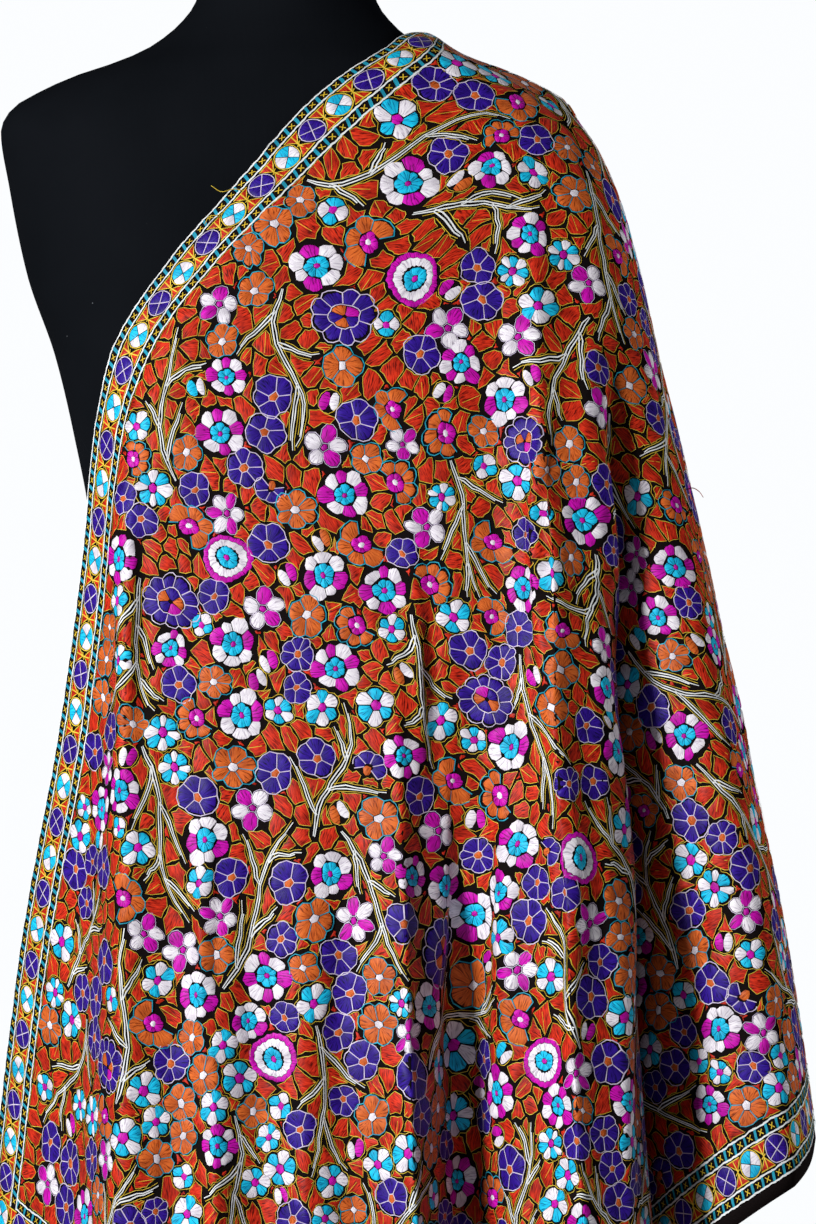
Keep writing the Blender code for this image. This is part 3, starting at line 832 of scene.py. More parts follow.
def drawOutlined(sketch, rng, size, petals, petalColour, centreColour, lineColour, bulge):
    # A flower of touching petals with fine lines round each
    inner = 0.27 * size
    turns = petalTurns(petals, rng)
    ringOfPetals(sketch, (petalColour,), inner, size, turns, rng, 0.97, bulge)
    centre = np.array([(0.24 * size * math.cos(turn), 0.24 * size * math.sin(turn)) for turn in turns[:-1]])
    fillPatch(sketch, centreColour, centre, fromMiddle)
    fine = stitchWork["fineLine"]
    sewLine(sketch, lineColour, rimLine(1.03 * size, turns, bulge), fine, True)
    if centreColour != "white":
        sewLine(sketch, lineColour, 1.08 * centre, fine, True)
    sewSpokes(sketch, lineColour, turns[:-1], (inner, (1 - bulge) * size))


def drawPurple(sketch, rng, size, petals):
    drawOutlined(sketch, rng, size, petals, "purple", "orange", "pale", 0.12)


def drawOrange(sketch, rng, size, petals):
    drawOutlined(sketch, rng, size, petals, "orange", "white", "teal", 0.20)


def drawPinwheel(sketch, rng, size, petals):
    turns = petalTurns(petals, rng)
    ringOfPetals(sketch, ("turquoise", "white"), 0.26 * size, size, turns, rng, 0.92, 0.17)
    fillPatch(sketch, "magenta", oval((0, 0), 0.52 * size, 0.52 * size, rng.uniform(0, 1), 5), fromMiddle)
    sewLowRim(sketch, "gold", rimLine(1.08 * size, turns, 0.15), "pinwheelRim")


def drawRound(sketch, rng, size, petals):
    # White and magenta petals round a turquoise flower
    turns = petalTurns(petals, rng)
    order = ("white", "magenta") if petals % 2 == 0 else ("white", "magenta", "white")
    ringOfPetals(sketch, order, 0.50 * size, size, turns, rng, 0.95, 0.14)
    inner = petalTurns(int(rng.integers(5, 7)), rng)
    ringOfPetals(sketch, ("turquoise",), 0.12 * size, 0.46 * size, inner, rng, 0.95, 0.16)
    fillHeart(sketch, "magenta", 0.22 * size, 0.22 * size, 6)


def drawRosette(sketch, rng, size, petals):
    tooth = 0.022 * size
    fillRing(sketch, "magenta", 0.80 * size, size, 36, tooth)
    fillRing(sketch, "white", 0.49 * size, 0.78 * size, 36, tooth)
    ringOfPetals(sketch, ("turquoise",), 0.15 * size, 0.46 * size, petalTurns(petals, rng), rng, 0.97, 0.10)
    fillHeart(sketch, "magenta", 0.24 * size, 0.24 * size, 7)


def drawLoose(sketch, rng, size, petals):
    # Magenta and white petals that stand apart
    colours = ("magenta", "white") if petals % 2 == 0 else ("magenta", "white", "magenta", "white", "white")
    for k in range(petals):
        turn = 2 * math.pi * (k + rng.uniform(-0.12, 0.12)) / petals
        away = 0.60 * size
        centre = (away * math.cos(turn), away * math.sin(turn))
        outline = oval(centre, 0.78 * size, 0.60 * size * 5.5 / petals, turn, 9)
        fillPatch(sketch, colours[k % len(colours)], outline, fromMiddle)
        sewLowRim(sketch, "pale", shrinkPatch(outline, 1.13), "looseRim")
    fillHeart(sketch, "magenta", 0.34 * size, 0.28 * size, 6)


def drawFan(sketch, rng, size, petals):
    # Orange petals fanned round a small magenta flower
    turns = petalTurns(petals, rng, -0.3, 4.1)
    outlinedRing(sketch, "orange", "teal", rng, size, turns, 0.46, 0.16, (0.46, 0.88))
    ringOfPetals(sketch, ("magenta",), 0.14 * size, 0.43 * size, petalTurns(4, rng), rng, 0.95, 0.16)
    fillHeart(sketch, "white", 0.26 * size, 0.26 * size, 6)


def drawGrand(sketch, rng, size, petals):
    # The widest purple flower, with orange and magenta inside
    turns = petalTurns(petals, rng)
    outlinedRing(sketch, "purple", "pale", rng, size, turns, 0.52, 0.12, (0.52, 0.90), True)
    inner = petalTurns(5, rng)
    order = ("orange", "purple", "magenta", "orange", "purple")
    ringOfPetals(sketch, order, 0.08 * size, 0.49 * size, inner, rng, 0.93, 0.10)
    sewLine(sketch, "pale", rimLine(0.51 * size, inner, 0.10), stitchWork["fineLine"], True)


def drawHalf(sketch, rng, size, petals):
    # A purple flower seen from the side
    turns = petalTurns(petals, rng, 0.2, 4.0)
    outlinedRing(sketch, "purple", "pale", rng, size, turns, 0.24, 0.12, (0.22, 0.92))
    heart = 2.2 + math.pi
    centre = (0.22 * size * math.cos(heart), 0.22 * size * math.sin(heart))
    fillPatch(sketch, "orange", oval(centre, 0.62 * size, 0.50 * size, heart, 7), ("straight", heart))


def drawBud(sketch, rng, size, petals):
    # Two petals side by side
    pairs = (("white", "magenta"), ("magenta", "white"), ("white", "orange"), ("turquoise", "white"))
    for colour, side in zip(pairs[petals], (1, -1)):
        petal = oval((0, side * 0.42 * size), 1.75 * size, 0.82 * size, side * 0.15, 9)
        fillPatch(sketch, colour, petal, ("straight", 1.5))
    sewLowRim(sketch, "gold", oval((0, 0), 2.12 * size, 1.90 * size, 0, 12), "budRim")


def drawQuarters(sketch, size, colours, lineColour):
    # A round border flower in four quarters
    turns = np.linspace(0, 2 * math.pi, 5) + math.pi / 4
    for k, (start, end) in enumerate(zip(turns[:-1], turns[1:])):
        outline = counterClockwise(shrinkPatch(wedge(0.03 * size, size, start, end, 0.04, 6), 0.93))
        fillPatch(sketch, colours[k % len(colours)], outline, ("straight", (start + end) / 2))
    sewLine(sketch, lineColour, oval((0, 0), 2.08 * size, 2.08 * size, 0, 18), stitchWork["fineLine"], True)
    if lineColour == "pale":
        sewSpokes(sketch, "pale", turns[:2], (-0.97 * size, 0, 0.97 * size))


# Flowers: how it is drawn, its radius in metres, its petal counts and its share of all flowers
flowers = {
    "rosette": {"draw": drawRosette, "radius": 0.0162, "petals": (5, 6), "share": 0.005},
    "grand": {"draw": drawGrand, "radius": 0.0190, "petals": (9, 10), "share": 0.015},
    "round": {"draw": drawRound, "radius": 0.0167, "petals": (7, 8, 8), "share": 0.10},
    "fan": {"draw": drawFan, "radius": 0.0160, "petals": (4, 5), "share": 0.05},
    "loose": {"draw": drawLoose, "radius": 0.0140, "petals": (5, 6), "share": 0.08},
    "purple": {"draw": drawPurple, "radius": 0.0134, "petals": (5, 5, 5, 6, 7), "share": 0.38},
    "orange": {"draw": drawOrange, "radius": 0.0135, "petals": (4, 5, 5, 5, 6), "share": 0.24},
    "pinwheel": {"draw": drawPinwheel, "radius": 0.0130, "petals": (6, 6, 8), "share": 0.21},
    "half": {"draw": drawHalf, "radius": 0.0118, "petals": (3, 4), "share": 0.04},
    "small": {"draw": drawPinwheel, "radius": 0.0100, "petals": (4, 4, 6), "share": 0.06},
    "bud": {"draw": drawBud, "radius": 0.0080, "petals": (0, 1, 2, 3), "share": 0.03},
}
# Where a flower fills only part of its circle: the angles between which it reaches out
openFlowers = {"fan": (-0.3, 3.8, 0.48), "half": (0.2, 4.2, 0.55)}

# The border, from the cloth's edge inward
border = {
    "innerMargin": 0.0012,
    "outerMargin": 0.0090,
    "endMargin": 0.0090,
    "ladder": 0.0084,
    "band": 0.0195,
    "rung": 0.0098,
    "rungWidth": 0.00105,
    "rungSlant": 0.0008,
    "crossArm": 0.0016,
    "links": 3,
    "medallion": 0.0086,
    "medallionPitch": 0.0245,
}
borderWidth = 2 * border["ladder"] + border["band"]


def drawLadder(sketch):
    # One step of a ladder: a turquoise rung and a gold cross between two chained lines
    pitch, half, slant, arm = border["rung"], border["ladder"] / 2, border["rungSlant"], border["crossArm"]
    line = stitchWork["chainLine"]
    rail = half - line / 2
    for lean, height in ((-0.00055, 0.00040), (0.00055, 0.00050)):
        rung = [(lean - slant, -rail + 0.0003), (lean, 0), (lean + slant, rail - 0.0003)]
        sewLine(sketch, "teal", rung, border["rungWidth"], height=height)
    middle = pitch / 2
    for side in (1, -1):
        path = [(middle - arm, -side * arm), (middle, 0), (middle + arm, side * arm)]
        sewLine(sketch, "gold", path, stitchWork["fineLine"], height=0.0004 + 0.0001 * side)
    links = border["links"]
    for side in (-1, 1):
        for k in range(links):
            start, end = pitch * (k - 0.10) / links, pitch * (k + 1.02) / links
            lean = 0.00020 * (1 if k % 2 else -1)
            path = [(start, side * rail - lean), ((start + end) / 2, side * rail), (end, side * rail + lean)]
            sewLine(sketch, "cream", path, line * (0.90 if k % 2 else 1.05), height=0.0006 + 0.00004 * k)


def drawBetween(sketch):
    # Two red leaves and a gold sprig between two border flowers
    high = border["band"] / 2 - 0.0016
    for side in (1, -1):
        corners = ((-0.0058, high), (0.0058, high), (0.0030, 0.0050), (0.0004, 0.0012), (-0.0028, 0.0048))
        leaf = counterClockwise(np.array([(x, side * y) for x, y in corners]))
        fillPatch(sketch, "red", leaf, ("straight", math.pi / 2))
        sewLine(sketch, "gold", shrinkPatch(leaf, 1.10), 0.0007, True, 0.0004)
    sewLine(sketch, "gold", [(-0.0006, -0.0080), (0.0004, 0), (-0.0004, 0.0080)], 0.0008, height=0.0006)
    sewLine(sketch, "gold", [(-0.0020, -0.0012), (0.0022, 0.0010)], 0.0007, height=0.0007)


motifNumbers = {}
motifMeshes = {name: [] for name in silk}


def keepMotif(key, sketch):
    # Stores a motif's meshes, one for each of its colours
    motifNumbers[key] = {}
    for name, part in sketch.items():
        if part["verts"]:
            motifNumbers[key][name] = len(motifMeshes[name])
            motifMeshes[name].append(sketchMesh(f"motif_{name}", part))


def sketchMesh(name, part):
    mesh = bpy.data.meshes.new(name)
    mesh.from_pydata([tuple(point) for point in np.concatenate(part["verts"])], [], part["faces"])
    setUv(mesh, "threads", np.concatenate(part["threads"]))
    mesh.shade_smooth()
    return mesh


def bendSketch(sketch, size, rng):
    # Sewn by hand: the whole flower is a little out of true
    waves = rng.uniform(0, 2 * math.pi, 4)
    for part in sketch.values():
        for verts in part["verts"]:
            x, y = verts[:, 0].copy(), verts[:, 1].copy()
            for axis, own, other in ((0, x, y), (1, y, x)):
                wide = 0.07 * np.sin(2.2 * other / size + waves[2 * axis])
                fine = 0.03 * np.sin(4.1 * own / size + waves[2 * axis + 1])
                verts[:, axis] += size * (wide + fine)


def makeMotifs():
    rng = np.random.default_rng(7)
    for name, flower in flowers.items():
        for number, petals in enumerate(flower["petals"]):
            sketch = newSketch()
            flower["draw"](sketch, rng, flower["radius"], petals)
            bendSketch(sketch, flower["radius"], rng)
            keepMotif((name, number), sketch)
    for key, draw, given in (
        ("medallionPurple", drawQuarters, (border["medallion"], ("purple",), "pale")),
        ("medallionBlue", drawQuarters, (border["medallion"], ("turquoise", "white"), "gold")),
        ("ladder", drawLadder, ()),
        ("between", drawBetween, ()),
    ):
        sketch = newSketch()
        draw(sketch, *given)
        keepMotif((key, 0), sketch)


makeMotifs()
print("motifs drawn:", {name: len(found) for name, found in motifMeshes.items()})

# Main flowers: the pixels of the photo where they lie
seenFlowers = {
    "rosette": ((404, 277), (222, 556), (273, 1062), (545, 1063), (576, 858)),
    "grand": ((170, 602), (343, 308)),
    "round": (
        (410, 177), (317, 268), (222, 430), (347, 504), (335, 666), (384, 588), (241, 716),
        (506, 752), (614, 748), (522, 846), (478, 914), (712, 1035), (505, 404),
    ),
    "fan": ((195, 532), (361, 546), (376, 248), (500, 788), (519, 1018)),
    "loose": (
        (262, 610), (428, 523), (589, 925), (219, 302), (449, 320), (434, 834), (746, 920),
        (253, 806), (183, 950),
    ),
    "pinwheel": ((157, 485), (373, 710)),
    "purple": ((265, 545), (362, 417)),
    "orange": ((303, 621), (296, 513)),
}


def nearestSeen(x, y):
    # The row and column of the cloth that the camera sees nearest to a pixel of the photo
    view = photoView
    scale = view["distance"] / (view["distance"] + clothGrid[..., 1]) / view["metresPerPixel"]
    pixelX = view["widthPx"] / 2 + (clothGrid[..., 0] - view["middleX"]) * scale
    pixelY = view["heightPx"] / 2 - (clothGrid[..., 2] - view["middleZ"]) * scale
    away = np.hypot(pixelX - x, pixelY - y)
    near = (away < view["searchPx"]) & (clothNormals[..., 1] < -0.05)
    depth = np.where(near, clothGrid[..., 1], np.inf)
    front = near & (clothGrid[..., 1] < depth.min() + view["searchDepth"])
    return np.unravel_index(np.argmin(np.where(front, away, np.inf)), away.shape)


def averaged(values, axis, rounds):
    # Each value with its neighbours' along an axis
    for _ in range(rounds):
        wide = np.pad(values, [(1, 1) if k == axis else (0, 0) for k in range(2)], "edge")
        count = values.shape[axis]
        parts = [np.take(wide, range(k, k + count), axis) for k in range(3)]
        values = sum(parts) / 3
    return values


def flatShapes():
    # How a flat circle must be turned and narrowed at each point, so that it is round once draped
    down, across = np.gradient(clothGrid, axis=0), np.gradient(clothGrid, axis=1)
    flatDown, flatAcross = np.gradient(clothFlat, axis=0), np.gradient(clothFlat, axis=1)
    area = flatDown[..., 0] * flatAcross[..., 1] - flatDown[..., 1] * flatAcross[..., 0]
    area = np.where(np.abs(area) < 1e-9, 1e-9, area)[..., None]
    alongX = (down * flatAcross[..., 1:] - across * flatDown[..., 1:]) / area
    alongY = (across * flatDown[..., :1] - down * flatAcross[..., :1]) / area
    parts = ((alongX**2).sum(-1), (alongX * alongY).sum(-1), (alongY**2).sum(-1))
    first, mixed, last = [averaged(averaged(np.clip(part, -6, 6), 1, 12), 0, 1) for part in parts]
    spread = np.hypot((first - last) / 2, mixed)
    middle = (first + last) / 2
    ratio = (middle + spread) / np.maximum(middle - spread, 0.05 * middle + tiny)
    narrow = np.clip(ratio ** (0.25 * field["roundness"]), 1.0, field["mostNarrow"])
    return 0.5 * np.arctan2(2 * mixed, first - last), narrow


def shapeAt(x, y):
    nearest = np.argmin((clothFlat[..., 0] - x) ** 2 + (clothFlat[..., 1] - y) ** 2)
    return shapeTurns.flat[nearest], shapeNarrows.flat[nearest]


def shapeMetric(centres):
    # What turns a way on the flat cloth into one where the flower there is a circle
    found = np.array([shapeAt(x, y) for x, y in centres])
    turn, narrow = found[:, 0], found[:, 1]
    cos, sin = np.cos(turn), np.sin(turn)
    return (
        narrow * cos**2 + sin**2 / narrow,
        (narrow - 1 / narrow) * sin * cos,
        narrow * sin**2 + cos**2 / narrow,
    )


def shapedDistance(metric, dx, dy):
    first, mixed, last = metric
    return np.hypot(first * dx + mixed * dy, mixed * dx + last * dy)


# How the field is filled
field = {
    "roundness": 0.9,  # 1 makes every flower round once draped, 0 leaves it round on the flat cloth
    "mostNarrow": 1.36,
    "seed": 23,
    "gap": 0.0003,
    "flowers": 1600,
    "settling": 70,
    "refresh": 8,  # steps of settling before the flowers' shapes are read again
    "longestMove": 0.004,
    "damping": 0.7,
    "start": 0.01,
    "sizes": (0.92, 1.10),
    "cell": 0.040,
    "pixel": 0.00075,
    "chartInset": 0.0004,
    "shrinks": (1.0, 0.94, 0.88, 0.82),
    "overlap": 0.0015,
    "fillers": (("purple", 0.86), ("pinwheel", 0.84), ("orange", 0.84), ("small", 0.95), ("bud", 0.95)),
    "fillerDarts": 2500,
    "fillerOverlap": 0.0008,
    "seenScale": 1.04,
}
# Red leaves in the free pockets: three rounds, each with its pitch, least room and longest reach
leaves = {
    "rounds": ((0.0108, 3, 0.0120), (0.0056, 3, 0.0066), (0.0038, 2, 0.0044)),
    "fewest": 12,
    "most": 90000,
    "rays": 12,
    "step": 0.0004,
    "neighbours": 10,
    "gap": 0.0012,
    "shortest": 0.0006,
    "smallest": 0.0015,
    "crown": 0.00042,
    "outlinedFrom": 0.0027,
    "veinedFrom": 0.0060,
    "veined": 0.30,
    "veinHeight": 0.00062,
    "apart": 0.0007,
}
# Sprays: a stem with side branches, two white lines between two gold ones
spray = {
    "darts": 5000,
    "pitch": 0.080,
    "inset": 0.003,
    "lean": 0.65,
    "length": (0.080, 0.125),
    "bend": 0.9,
    "sway": 0.45,
    "branches": (2, 5, 9, 11),
    "branchLean": (0.4, 0.8),
    "branchLength": (0.020, 0.045),
    "branchBend": (-0.2, 0.7),
    "branchSway": 0.12,
    "shake": 0.00035,
    "reach": 0.0031,
    "whiteApart": 0.00106,
    "whiteWidth": 0.00084,
    "whiteHeight": 0.00066,
    "whiteShake": 0.00020,
    "goldApart": 0.00140,
    "goldHeight": 0.00040,
    "goldShake": 0.00030,
}

shapeTurns, shapeNarrows = flatShapes()


def cornersInside(*insets):
    # The lowest and highest corner inside the cloth's margins, drawn in by the insets
    low = np.array([-cloth["halfLength"] + border["endMargin"], border["innerMargin"]])
    high = np.array([cloth["halfLength"] - border["endMargin"], cloth["width"] - border["outerMargin"]])
    for inset in insets:
        low, high = low + inset, high - inset
    return low, high


class Crowd:
    # Circles on the flat cloth, found by the cell they lie in
    def __init__(self):
        self.cells = {}

    def clear(self, x, y, radius, gap):
        cell = field["cell"]
        column, row = int(x // cell), int(y // cell)
        for i in (column - 1, column, column + 1):
            for j in (row - 1, row, row + 1):
                for otherX, otherY, otherRadius in self.cells.get((i, j), ()):
                    reach = radius + otherRadius + gap
                    if (x - otherX) ** 2 + (y - otherY) ** 2 < reach * reach:
                        return False
        return True

    def add(self, x, y, radius):
        cell = field["cell"]
        self.cells.setdefault((int(x // cell), int(y // cell)), []).append((x, y, radius))


def curvePoints(start, turn, length, bend, sway, steps):
    # A path that turns by bend along its length and sways to each side on the way
    points = [np.array(start, float)]
    for k in range(steps):
        share = (k + 0.5) / steps
        heading = turn + bend * share + sway * math.cos(2 * math.pi * share)
        points.append(points[-1] + length / steps * np.array([math.cos(heading), math.sin(heading)]))
    return np.array(points)


def sprayPaths(x, y, turn, rng):
    # A stem with two or three side branches that leave it at a narrow angle
    length = rng.uniform(*spray["length"])
    bend = rng.uniform(-spray["bend"], spray["bend"])
    sway = rng.uniform(-spray["sway"], spray["sway"])
    start = np.array([x, y]) - 0.5 * length * np.array([math.cos(turn), math.sin(turn)])
    main = curvePoints(start, turn, length, bend, sway, 15)
    paths = [main]
    side = rng.choice((-1, 1))
    for k in spray["branches"][: int(rng.integers(3, 5))]:
        way = main[k + 1] - main[k]
        heading = math.atan2(way[1], way[0]) + side * rng.uniform(*spray["branchLean"])
        branch = rng.uniform(*spray["branchLength"])
        bend = side * rng.uniform(*spray["branchBend"])
        paths.append(curvePoints(main[k], heading, branch, bend, spray["branchSway"], 6))
        side = -side
    return [path + rng.normal(0, spray["shake"], path.shape) for path in paths]


def placeSprays(crowd, rng):
    low, high = cornersInside(borderWidth, spray["inset"])
    reach = spray["reach"]
    sprays, centres = [], []
    for _ in range(spray["darts"]):
        x, y = rng.uniform(low, high)
        if any(math.hypot(x - cx, y - cy) < spray["pitch"] for cx, cy in centres):
            continue
        # Stems mostly follow the cloth's fall, up or down it
        turn = math.atan2(y, x) + rng.normal(0, spray["lean"]) + (math.pi if rng.uniform() < 0.5 else 0.0)
        paths = sprayPaths(x, y, turn, rng)
        points = np.concatenate(paths)
        if np.any(points < low) or np.any(points > high):
            continue
        if not all(crowd.clear(px, py, reach, 0.0) for px, py in points):
            continue
        sprays.append(paths)
        centres.append((x, y))
        for px, py in points:
            crowd.add(px, py, reach)
    return sprays


def placeFlowers(fixed, rng):
    # Flowers start at random places and push each other off until hardly any overlap
    low, high = cornersInside(borderWidth)
    names = list(flowers)
    shares = np.array([flowers[name]["share"] for name in names])
    count = field["flowers"]
    picks = rng.choice(len(names), size=count, p=shares / shares.sum())
    scales = rng.uniform(*field["sizes"], count)
    radii = np.array([flowers[names[pick]]["radius"] for pick in picks]) * scales
    centres = rng.uniform(low + field["start"], high - field["start"], (count, 2))
    for step in range(field["settling"]):
        if step % field["refresh"] == 0:
            metric = [part[:, None] for part in shapeMetric(centres)]
        move = np.zeros_like(centres)
        for others, otherRadii, share in ((centres, radii, 0.5), (fixed[:, :2], fixed[:, 2], 1.0)):
            dx = centres[:, :1] - others[None, :, 0]
            dy = centres[:, 1:] - others[None, :, 1]
            distance = shapedDistance(metric, dx, dy) + tiny
            overlap = np.maximum(radii[:, None] + otherRadii[None] + field["gap"] - distance, 0)
            overlap[distance < 2 * tiny] = 0
            for axis, away in enumerate((dx, dy)):
                move[:, axis] += share * (overlap * away / distance).sum(axis=1)
        length = np.hypot(move[:, 0], move[:, 1])[:, None] + tiny
        centres = centres + move * np.minimum(1.0, field["longestMove"] / length) * field["damping"]
        centres = np.clip(centres, low + radii[:, None], high - radii[:, None])
    taken = list(fixed)
    placed = []

    def place(name, x, y, scale, overlap):
        radius = flowers[name]["radius"] * scale
        others = np.array(taken)
        turn, narrow = shapeAt(x, y)
        metric = [part[0] for part in shapeMetric([(x, y)])]
        away = shapedDistance(metric, others[:, 0] - x, others[:, 1] - y)
        if np.any(away < radius + others[:, 2] - overlap):
            return False
        taken.append((x, y, radius))
        number = int(rng.integers(len(flowers[name]["petals"])))
        placed.append((name, number, x, y, turn + math.pi * rng.integers(2), scale, narrow))
        return True

    for k in np.argsort(-radii):
        for shrink in field["shrinks"]:
            if place(names[picks[k]], *centres[k], scales[k] * shrink, field["overlap"]):
                break
    for name, scale in field["fillers"]:
        radius = flowers[name]["radius"] * scale
        for x, y in rng.uniform(low + radius, high - radius, (field["fillerDarts"], 2)):
            place(name, x, y, scale, field["fillerOverlap"])
    return placed


def keepApart(centres, radii, gap, rounds=80):
    # Pushes circles that overlap away from each other
    metric = [part[:, None] for part in shapeMetric(centres)]
    for _ in range(rounds):
        away = centres[:, None] - centres[None]
        distance = shapedDistance(metric, away[..., 0], away[..., 1]) + tiny
        overlap = np.maximum(radii[:, None] + radii[None] + gap - distance, 0)
        np.fill_diagonal(overlap, 0)
        centres = centres + (away / distance[..., None] * overlap[..., None]).sum(axis=1) * 0.4
    return centres


def placeSeen(crowd, rng):
    placed = []
    seen = [(kind, pixel) for kind, pixels in seenFlowers.items() for pixel in pixels]
    centres = np.array([clothFlat[nearestSeen(*pixel)] for _, pixel in seen])
    scale = field["seenScale"]
    radii = np.array([flowers[kind]["radius"] * scale for kind, _ in seen])
    centres = keepApart(centres, radii, field["gap"])
    for (kind, _), (x, y), radius in zip(seen, centres, radii):
        crowd.add(x, y, radius)
        number = int(rng.integers(len(flowers[kind]["petals"])))
        turn, narrow = shapeAt(x, y)
        placed.append((kind, number, x, y, turn + math.pi * rng.integers(2), scale, narrow))
    return placed


class Chart:
    # A chart of the flat cloth that marks where stitches already lie
    def __init__(self):
        self.pixel = field["pixel"]
        self.origin = np.array([-cloth["halfLength"], 0.0])
        size = np.array([2 * cloth["halfLength"], cloth["width"]]) / self.pixel
        self.free = np.zeros(tuple(np.ceil(size).astype(int) + 1), bool)
        low, high = self.cells(np.array(cornersInside(borderWidth, field["chartInset"])))
        self.free[low[0]:high[0], low[1]:high[1]] = True

    def cells(self, points):
        return np.floor((points - self.origin) / self.pixel).astype(int)

    def cover(self, x, y, reach, radiusAt):
        # Marks the cells nearer than radiusAt(angle) as taken
        low = self.cells(np.array([x - reach, y - reach]))
        high = self.cells(np.array([x + reach, y + reach])) + 1
        low = np.maximum(low, 0)
        part = self.free[low[0]:high[0], low[1]:high[1]]
        i, j = np.mgrid[low[0]:low[0] + part.shape[0], low[1]:low[1] + part.shape[1]]
        dx = (i + 0.5) * self.pixel + self.origin[0] - x
        dy = (j + 0.5) * self.pixel + self.origin[1] - y
        part &= np.hypot(dx, dy) > radiusAt(np.arctan2(dy, dx))

    def isFree(self, points):
        cells = self.cells(points)
        top = np.array(self.free.shape) - 1
        cells = np.clip(cells, 0, top)
        return self.free[cells[..., 0], cells[..., 1]]

    def clearance(self, levels):
        # How many cells away the nearest taken cell is, up to levels
        halves = {-1: slice(None, -1), 0: slice(None), 1: slice(1, None)}
        depth = np.zeros(self.free.shape, np.int8)
        left = self.free.copy()
        for level in range(levels):
            depth[left] = level + 1
            inner = left.copy()
            for i in (-1, 0, 1):
                for j in (-1, 0, 1):
                    if level % 2 or i * j == 0:
                        inner[halves[i], halves[j]] &= left[halves[-i], halves[-j]]
            left = inner
        return depth


def leafSeeds(chart, pitch, least, rng):
    # Middles of the free pockets, the roomiest first
    depth = chart.clearance(10)
    found = np.argwhere(depth >= least)
    if len(found) > leaves["most"]:
        found = found[rng.choice(len(found), leaves["most"], replace=False)]
    order = np.argsort(-depth[found[:, 0], found[:, 1]] - rng.uniform(0, 0.9, len(found)))
    crowd = Crowd()
    seeds = []
    for i, j in found[order]:
        x, y = (np.array([i, j]) + 0.5) * chart.pixel + chart.origin
        if crowd.clear(x, y, pitch / 2, 0.0):
            crowd.add(x, y, pitch / 2)
            seeds.append((x, y))
    return np.array(seeds)


def growLeaves(chart, seeds, rng, longest):
    # Each leaf reaches out from its seed until it meets stitches or its neighbour
    rays, step = leaves["rays"], leaves["step"]
    phase = rng.uniform(0, 2 * math.pi, (len(seeds), 1))
    turns = phase + 2 * math.pi * (np.arange(rays) + rng.uniform(-0.25, 0.25, (len(seeds), rays))) / rays
    ways = np.stack([np.cos(turns), np.sin(turns)], axis=-1)
    reach = np.zeros((len(seeds), rays))
    growing = np.ones((len(seeds), rays), bool)
    for k in range(1, int(longest / step)):
        points = seeds[:, None] + ways * (k * step)
        growing &= chart.isFree(points)
        reach[growing] = k * step
    neighbours = leaves["neighbours"]
    gaps = ((seeds[:, None] - seeds[None]) ** 2).sum(axis=-1)
    np.fill_diagonal(gaps, np.inf)
    nearest = np.argpartition(gaps, neighbours, axis=1)[:, :neighbours]
    for k in range(neighbours):
        toward = seeds[nearest[:, k]] - seeds
        facing = (ways * toward[:, None]).sum(axis=-1)
        halfway = (toward**2).sum(axis=-1)[:, None] / (2 * np.maximum(facing, tiny))
        reach = np.where(facing > 0, np.minimum(reach, halfway - leaves["gap"] / 2), reach)
    reach = np.maximum(reach, leaves["shortest"])
    beside = np.minimum(np.roll(reach, 1, axis=1), np.roll(reach, -1, axis=1))
    reach = np.minimum(reach, 2.6 * beside + 0.0012)
    tip = (reach >= np.roll(reach, 1, axis=1)) & (reach >= np.roll(reach, -1, axis=1))
    reach = np.where(tip, reach, reach * rng.uniform(0.84, 1.0, reach.shape))
    return turns, reach


def sewLeaves(sketch, chart, seeds, turns, reach, rng):
    # Red satin leaves with gold outlines
    line = stitchWork["goldLine"]
    for seed, turn, out in zip(seeds, turns, reach):
        if out.mean() < leaves["smallest"]:
            continue
        ways = np.column_stack([np.cos(turn), np.sin(turn)])
        far = int(np.argmax(out))
        shy = rng.uniform(0.9, 1.9, (leaves["rays"], 1))
        inner = seed + ways * np.maximum(out[:, None] - shy * line, 0.0003)
        fillPatch(sketch, "red", inner, ("straight", turn[far]), leaves["crown"])
        if out.mean() > leaves["outlinedFrom"]:
            outline = seed + ways * np.maximum(out - 0.45 * line, 0.0004)[:, None]
            sewLine(sketch, "gold", outline, line, True, leaves["crown"])
        if out.max() > leaves["veinedFrom"] and rng.uniform() < leaves["veined"]:
            vein = np.array([seed - 0.3 * ways[far] * out[far], seed + 0.9 * ways[far] * out[far]])
            sewLine(sketch, "gold", vein, line, height=leaves["veinHeight"])
        order = np.argsort(turn % (2 * math.pi))
        angles = (turn % (2 * math.pi))[order]
        lengths = out[order]
        chart.cover(
            *seed, out.max() + 0.001,
            lambda angle: np.interp(angle, angles, lengths, period=2 * math.pi) + leaves["apart"],
        )


def sewSpray(sketch, paths, rng):
    # Two white lines side by side, closing to a point, with gold lines apart on both sides
    for number, path in enumerate(paths):
        along = unit(np.gradient(path, axis=0))
        side = np.column_stack([-along[:, 1], along[:, 0]])
        share = np.linspace(0, 1, len(path))
        taper = (np.minimum(1.0, 0.45 + 4 * share) * (1 - 0.75 * share**2))[:, None]
        for way in (1, -1):
            jitter = rng.uniform(-spray["whiteShake"], spray["whiteShake"], (len(path), 2))
            white = path + way * side * spray["whiteApart"] * taper + jitter
            last = len(path) if way > 0 else len(path) - 1
            thin = spray["whiteWidth"] * (0.5 + 0.5 * taper[:last, 0])
            sewLine(sketch, "cream", white[:last], thin, height=spray["whiteHeight"] + 0.00004 * number)
            jitter = rng.uniform(-spray["goldShake"], spray["goldShake"], (len(path), 2))
            gold = path + way * side * (spray["goldApart"] + spray["goldApart"] * taper) + jitter
            sewLine(sketch, "gold", gold[1:last], stitchWork["goldLine"], height=spray["goldHeight"])


